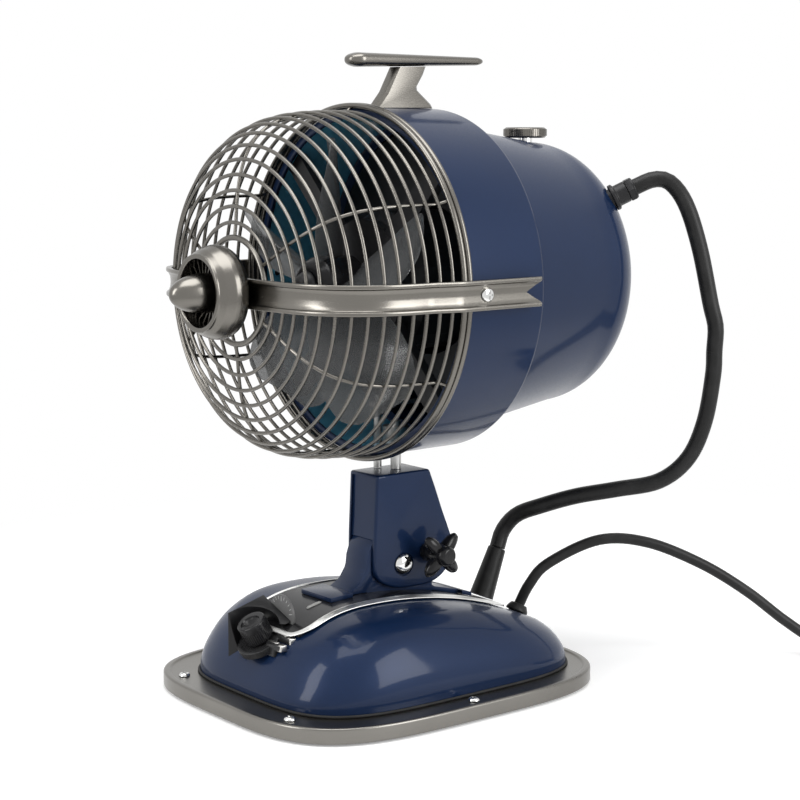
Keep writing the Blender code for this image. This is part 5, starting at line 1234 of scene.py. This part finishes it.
# Hub nacelle with its ring of fins, and the bullet nose
hub_centre = Vector((0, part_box("nacelle")[1].y, head_z))
nacelle_body = turned("nacelle_body", rounded([(0.0218, 0), (0.0246, 0.0012), (0.0262, 0.004),
    (0.0267, 0.0072), (0.0262, 0.0105), (0.0241, 0.0155), (0.022, 0.0186), (0.0219, 0.0199), (0.0196, 0.02),
    (0.019, 0.0192), (0.0186, 0.006), (0.0178, 0.0026), (0.006, 0.0026), (0.006, 0)], 0.0008, 4,
    closed=True), nickel_turned, hub_centre, -axis_y, 128)
fin = bmesh.new()
blade_rows = []
for k in range(5):
    t = k / 4
    x = 0.0072 + 0.0116 * t
    lean = 0.0016 - 0.0032 * t
    blade_rows.append([Vector((x, lean - 0.00035, 0.003)), Vector((x, lean + 0.00035, 0.003)),
                       Vector((x, lean + 0.002, 0.0118)), Vector((x, lean + 0.0013, 0.0118))])
add_rings(fin, blade_rows)
hub_place = Matrix.Translation(hub_centre) @ turn_to(-axis_y)
fins = around("nacelle_fins", fin, 26, nickel_turned, hub_place, 30)
nacelle = joined("nacelle_dressed", [nacelle_body, fins])
put(nacelle, "head", "satin_nickel", "nacelle")

nose_profile = [(0, 0.037)]
for k in range(1, 25):
    t = (k / 24) ** 2
    nose_profile.append((0.0112 * math.sqrt(1 - (1 - t) ** 2.1), 0.037 - 0.0225 * t))
nose_profile += [(0.0112, 0.0136), (0.0112, 0.0126), (0.0094, 0.0108), (0.0057, 0.0102), (0.0057, 0),
    (0, 0)]
nose = turned("nose_cone_dressed", nose_profile, nickel_turned, hub_centre, -axis_y, 96, False, 40)
put(nose, "head", "satin_nickel", "nose_cone")

# Handle: a bar that is lower and narrower towards the rear, with rounded ends
bar_front_y = -0.0216
bar_length = 0.1019
bar_top = 0.3786
bar_droop = 0.0014
bar_height = 0.0086
bar_height_loss = 0.004
bar_width = 0.016
bar_width_loss = 0.007


def round_end(t, reach, least):
    """The share of the full section at t, rounded off over this reach from an end."""
    return min(1.0, math.sqrt(max(0, 1 - (1 - min(t / reach, 1.0)) ** 2)) + least)


bar_rings = []
for k in range(61):
    t = 0.5 - 0.5 * math.cos(math.pi * k / 60)
    height = bar_height - bar_height_loss * t
    width = bar_width - bar_width_loss * t
    full = min(round_end(t, 0.12, 0.1), round_end(1 - t, 0.1, 0.12))
    centre = Vector((0, bar_front_y + bar_length * t, bar_top - bar_droop * t - height / 2))
    bar_rings.append([centre + Vector((x, 0, z)) for x,
        z in superellipse(width / 2 * full, height / 2 * full, 2.6, 48)])
bar = loft("handle_bar_dressed", bar_rings, nickel_handle, 50)
put(bar, "head", "satin_nickel", "handle_bar")
pedestal = dressed_copy("handle_pedestal", nickel_handle, 0.001, 2.0, 3)
put(pedestal, "head", "satin_nickel", "handle_pedestal")

# Clutch knob with a milled rim
clutch_foot = Vector((0, 0.1166, 0.3287))
clutch_body = turned("clutch_body", rounded([(0, 0.0062), (0.006, 0.0062), (0.0068, 0.0065),
    (0.0118, 0.0065), (0.0131, 0.0056), (0.0131, 0.001), (0.0122, 0), (0, 0)], 0.0004, 3), nickel_turned,
    clutch_foot, axis_z, 96, False)
clutch_stem = turned("clutch_stem", [(0, 0.0002), (0.0045, 0.0002), (0.0045, -0.0585), (0, -0.0585)],
    chrome, clutch_foot, axis_z, 48, False)
tooth = bmesh.new()
box_in(tooth, (0.0126, -0.00048, 0.0012), (0.0136, 0.00048, 0.0054))
teeth = around("clutch_teeth", tooth, 64, nickel_turned, Matrix.Translation(clutch_foot), 30)
clutch = joined("clutch_knob_dressed", [clutch_body, clutch_stem, teeth])
put(clutch, "clutch", "satin_nickel", "clutch_knob")

# Gland, boot and grommet
gland = turned("cord_gland_dressed", rounded([(0.0066, 0.0097), (0.0066, 0.003), (0.0082, 0.0022),
    (0.0082, 0), (0.0062, 0), (0.0062, -0.007), (0.0053, -0.007), (0.0053, 0.0097)], 0.0005, 3,
    closed=True), black_plastic, gland_seat, gland_normal, 64)
put(gland, "head", "black_plastic", "cord_gland")
nut_flats = turned("gland_nut_flats", rounded([(0.0076, 0.0137), (0.0076, 0.0101), (0.0053, 0.0101),
    (0.0053, 0.0137)], 0.0003, 2, closed=True), black_plastic, gland_seat, gland_normal, 6, True, 20)
nut_dome = turned("gland_nut_dome", rounded([(0.0068, 0.0134), (0.0066, 0.0146), (0.0059, 0.015),
    (0.0053, 0.015), (0.0053, 0.0134)], 0.0004, 3, closed=True), black_plastic, gland_seat, gland_normal,
    48)
nut = joined("gland_nut_dressed", [nut_flats, nut_dome])
put(nut, "head", "black_plastic", "gland_nut")
boot_length = (boot_bottom - boot_top).length
boot_profile = [(0.0051, 0), (0.0057, -0.0006)]
for k in range(1, 25):
    t = k / 24
    boot_profile.append((0.0057 + 0.0019 * t, -0.0006 - (boot_length * 0.94) * t))
boot_profile += [(0.0078, -boot_length), (0, -boot_length), (0, -0.002), (0.0051, -0.002)]
boot = turned("cord_boot_dressed", boot_profile, cord_rubber, boot_top, -into_boot, 48, True, 40)
put(boot, "base", "black_rubber", "cord_boot")
grommet = turned("mains_grommet_dressed", rounded([(0.0036, 0.0055), (0.0052, 0.0055), (0.007, 0.0022),
    (0.0072, 0.0007), (0.005, 0.0007), (0.005, -0.0022), (0.0036, -0.0022)], 0.0006, 3, closed=True),
    cord_rubber, grommet_foot, grommet_out, 48)
put(grommet, "base", "black_rubber", "mains_grommet")


# Rotor: smoked blades, hub and spinner

blade_count = 5
blade_root = 0.014
blade_tip = 0.085
blade_root_angle = 62
blade_twist = 30
blade_y = -0.035


def blade(work, turn):
    out_way = Vector((math.cos(turn), 0, math.sin(turn)))
    side_way = Vector((-math.sin(turn), 0, math.cos(turn)))
    rows = []
    for k in range(25):
        t = k / 24
        r = blade_root + (blade_tip - blade_root) * t
        angle = math.radians(blade_root_angle - blade_twist * t)
        widest = math.sin(math.pi * min(1.0, 0.25 + 0.62 * t))
        chord = (0.034 + 0.032 * widest * t ** 0.5) * (1 - 0.3 * max(0, (t - 0.86) / 0.14) ** 2.4)
        along = side_way * math.cos(angle) + axis_y * math.sin(angle)
        face = along.cross(out_way)
        centre = Vector((0, blade_y, head_z)) + out_way * r
        upper, lower = [], []
        for m in range(11):
            u = m / 10 - 0.5
            lift = chord * 0.08 * (1 - 4 * u * u)
            thick = 0.0008 * (1 - 3.2 * u * u)
            upper.append(centre + along * chord * u + face * (lift + thick))
            lower.append(centre + along * chord * u + face * (lift - thick))
        rows.append(upper + list(reversed(lower)))
    add_rings(work, rows)


blade_work = bmesh.new()
for i in range(blade_count):
    blade(blade_work, 2 * math.pi * (i + 0.25) / blade_count)
blade_piece = new_object("blade_set", mesh_from("blade_set", blade_work), smoke, True, 50)
blade_hub = turned("blade_hub", rounded([(0.0136, -0.05), (0.017, -0.0449), (0.017, -0.02), (0.0043, -0.02),
    (0.0043, -0.05)], 0.0014, 4, closed=True), black_gloss, head_axis, axis_y, 64)
rotor = joined("blades_dressed", [blade_piece, blade_hub])
put(rotor, "rotor", "smoky_plastic", "blades")
spinner = turned("blade_nut_dressed", rounded([(0, 0.009), (0.0054, 0.0074), (0.0084, 0.003), (0.009, 0),
    (0.0043, 0), (0, 0)], 0.0012, 4), black_plastic, Vector((0, -0.0503, head_z)), -axis_y, 48, False)
put(spinner, "rotor", "black_plastic", "blade_nut")

# CAD nodes that keep their own shape
kept = [("bottom_cover", black_plastic), ("timer_body", grey_plastic), ("motor_body", black_motor),
    ("motor_bracket", black_motor), ("gearbox", black_motor), ("fan_baffle", black_motor), ("crank", steel),
    ("link_rod", steel), ("pivot_bush", steel), ("rotor_shaft", steel), ("cord_tie", foot_rubber),
    ("dome_nut", chrome), ("clamp_nut", steel), ("pivot_post", steel), ("link_pin", steel)]
kept += [(f"rubber_foot_{i + 1}", foot_rubber) for i in range(4)]
for node, finish in kept:
    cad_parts[node].data.materials.clear()
    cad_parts[node].data.materials.append(finish)


# Floor, lamps and background

def shown_rays(tree):
    """1 for camera, glossy and transmission rays, which all see the white background."""
    rays = tree.nodes.new("ShaderNodeLightPath")
    share = rays.outputs["Is Camera Ray"]
    for kind in ("Is Glossy Ray", "Is Transmission Ray"):
        either = tree.nodes.new("ShaderNodeMath")
        either.operation = "MAXIMUM"
        tree.links.new(share, either.inputs[0])
        tree.links.new(rays.outputs[kind], either.inputs[1])
        share = either.outputs[0]
    return share


def mixed(tree, share, first, second):
    """Two shaders mixed by a share."""
    made = tree.nodes.new("ShaderNodeMixShader")
    for i, socket in enumerate((share, first, second)):
        tree.links.new(socket, made.inputs[i])
    return made.outputs[0]


def glow(tree, kind, strength):
    made = tree.nodes.new(kind)
    made.inputs["Color"].default_value = (1.0, 1.0, 1.0, 1.0)
    made.inputs["Strength"].default_value = strength
    return made.outputs[0]


# The floor keeps the shadow near the fan and fades to plain white further off
floor_lift = 0.26
fade_centre = (0.06, 0.1, 0)
fade_start = 0.3
fade_end = 0.62
floor_mesh = bpy.data.meshes.new("floor")
floor_mesh.from_pydata([(-4, -4, 0), (4, -4, 0), (4, 4, 0), (-4, 4, 0)], [], [(0, 1, 2, 3)])
floor = in_scene("floor", floor_mesh)
floor_finish = Finish("floor_white", 0.9)
floor_finish.constant("Base Color", (0.86, 0.86, 0.86, 1.0))
floor_finish.constant("Specular IOR Level", 0.1)
floor_tree = floor_finish.tree
plain = floor_finish.shader.outputs[0]
lifted = floor_finish.value(0, "ShaderNodeAddShader",
    {0: Value(floor_finish, plain), 1: Value(floor_finish,
    glow(floor_tree, "ShaderNodeEmission", floor_lift))})
away = floor_finish.value("Value", "ShaderNodeVectorMath", {0: floor_finish.place(centre=fade_centre)},
    operation="LENGTH")
fade = floor_finish.ramp(away, fade_start, fade_end)
faded = mixed(floor_tree, fade.socket, lifted.socket, glow(floor_tree, "ShaderNodeEmission", 1.0))
floor_tree.links.new(mixed(floor_tree, shown_rays(floor_tree), plain, faded),
                     floor_tree.nodes["Material Output"].inputs[0])
floor_mesh.materials.append(floor_finish.material)
floor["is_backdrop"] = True

# Soft light all round, with white behind the fan
world_light = 0.42
world = bpy.data.worlds.new("studio")
bpy.context.scene.world = world
world.use_nodes = True
sky = world.node_tree
sky.nodes.clear()
background = mixed(sky, shown_rays(sky), glow(sky, "ShaderNodeBackground", world_light),
                   glow(sky, "ShaderNodeBackground", 1.0))
sky.links.new(background, sky.nodes.new("ShaderNodeOutputWorld").inputs[0])


def lamp(name, place, target, size, power, tall=None):
    data = bpy.data.lights.new(name, "AREA")
    data.shape = "RECTANGLE"
    data.size = size
    data.size_y = tall or size
    data.energy = power
    obj = in_scene(name, data)
    obj.location = place
    obj.rotation_euler = (Vector(target) - Vector(place)).to_track_quat("-Z", "Y").to_euler()


lamp("soft_top", (0.1, -0.1, 1.6), (0, 0, 0.2), 1.1, 17)
lamp("strip_front", (-0.3, -1.5, 0.9), (0, 0, 0.22), 0.5, 13, 1.2)
lamp("strip_side", (1.45, 0.55, 0.75), (0, 0.05, 0.2), 0.8, 17, 1.1)

view = bpy.context.scene.view_settings
view.view_transform = "Standard"

low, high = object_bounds()
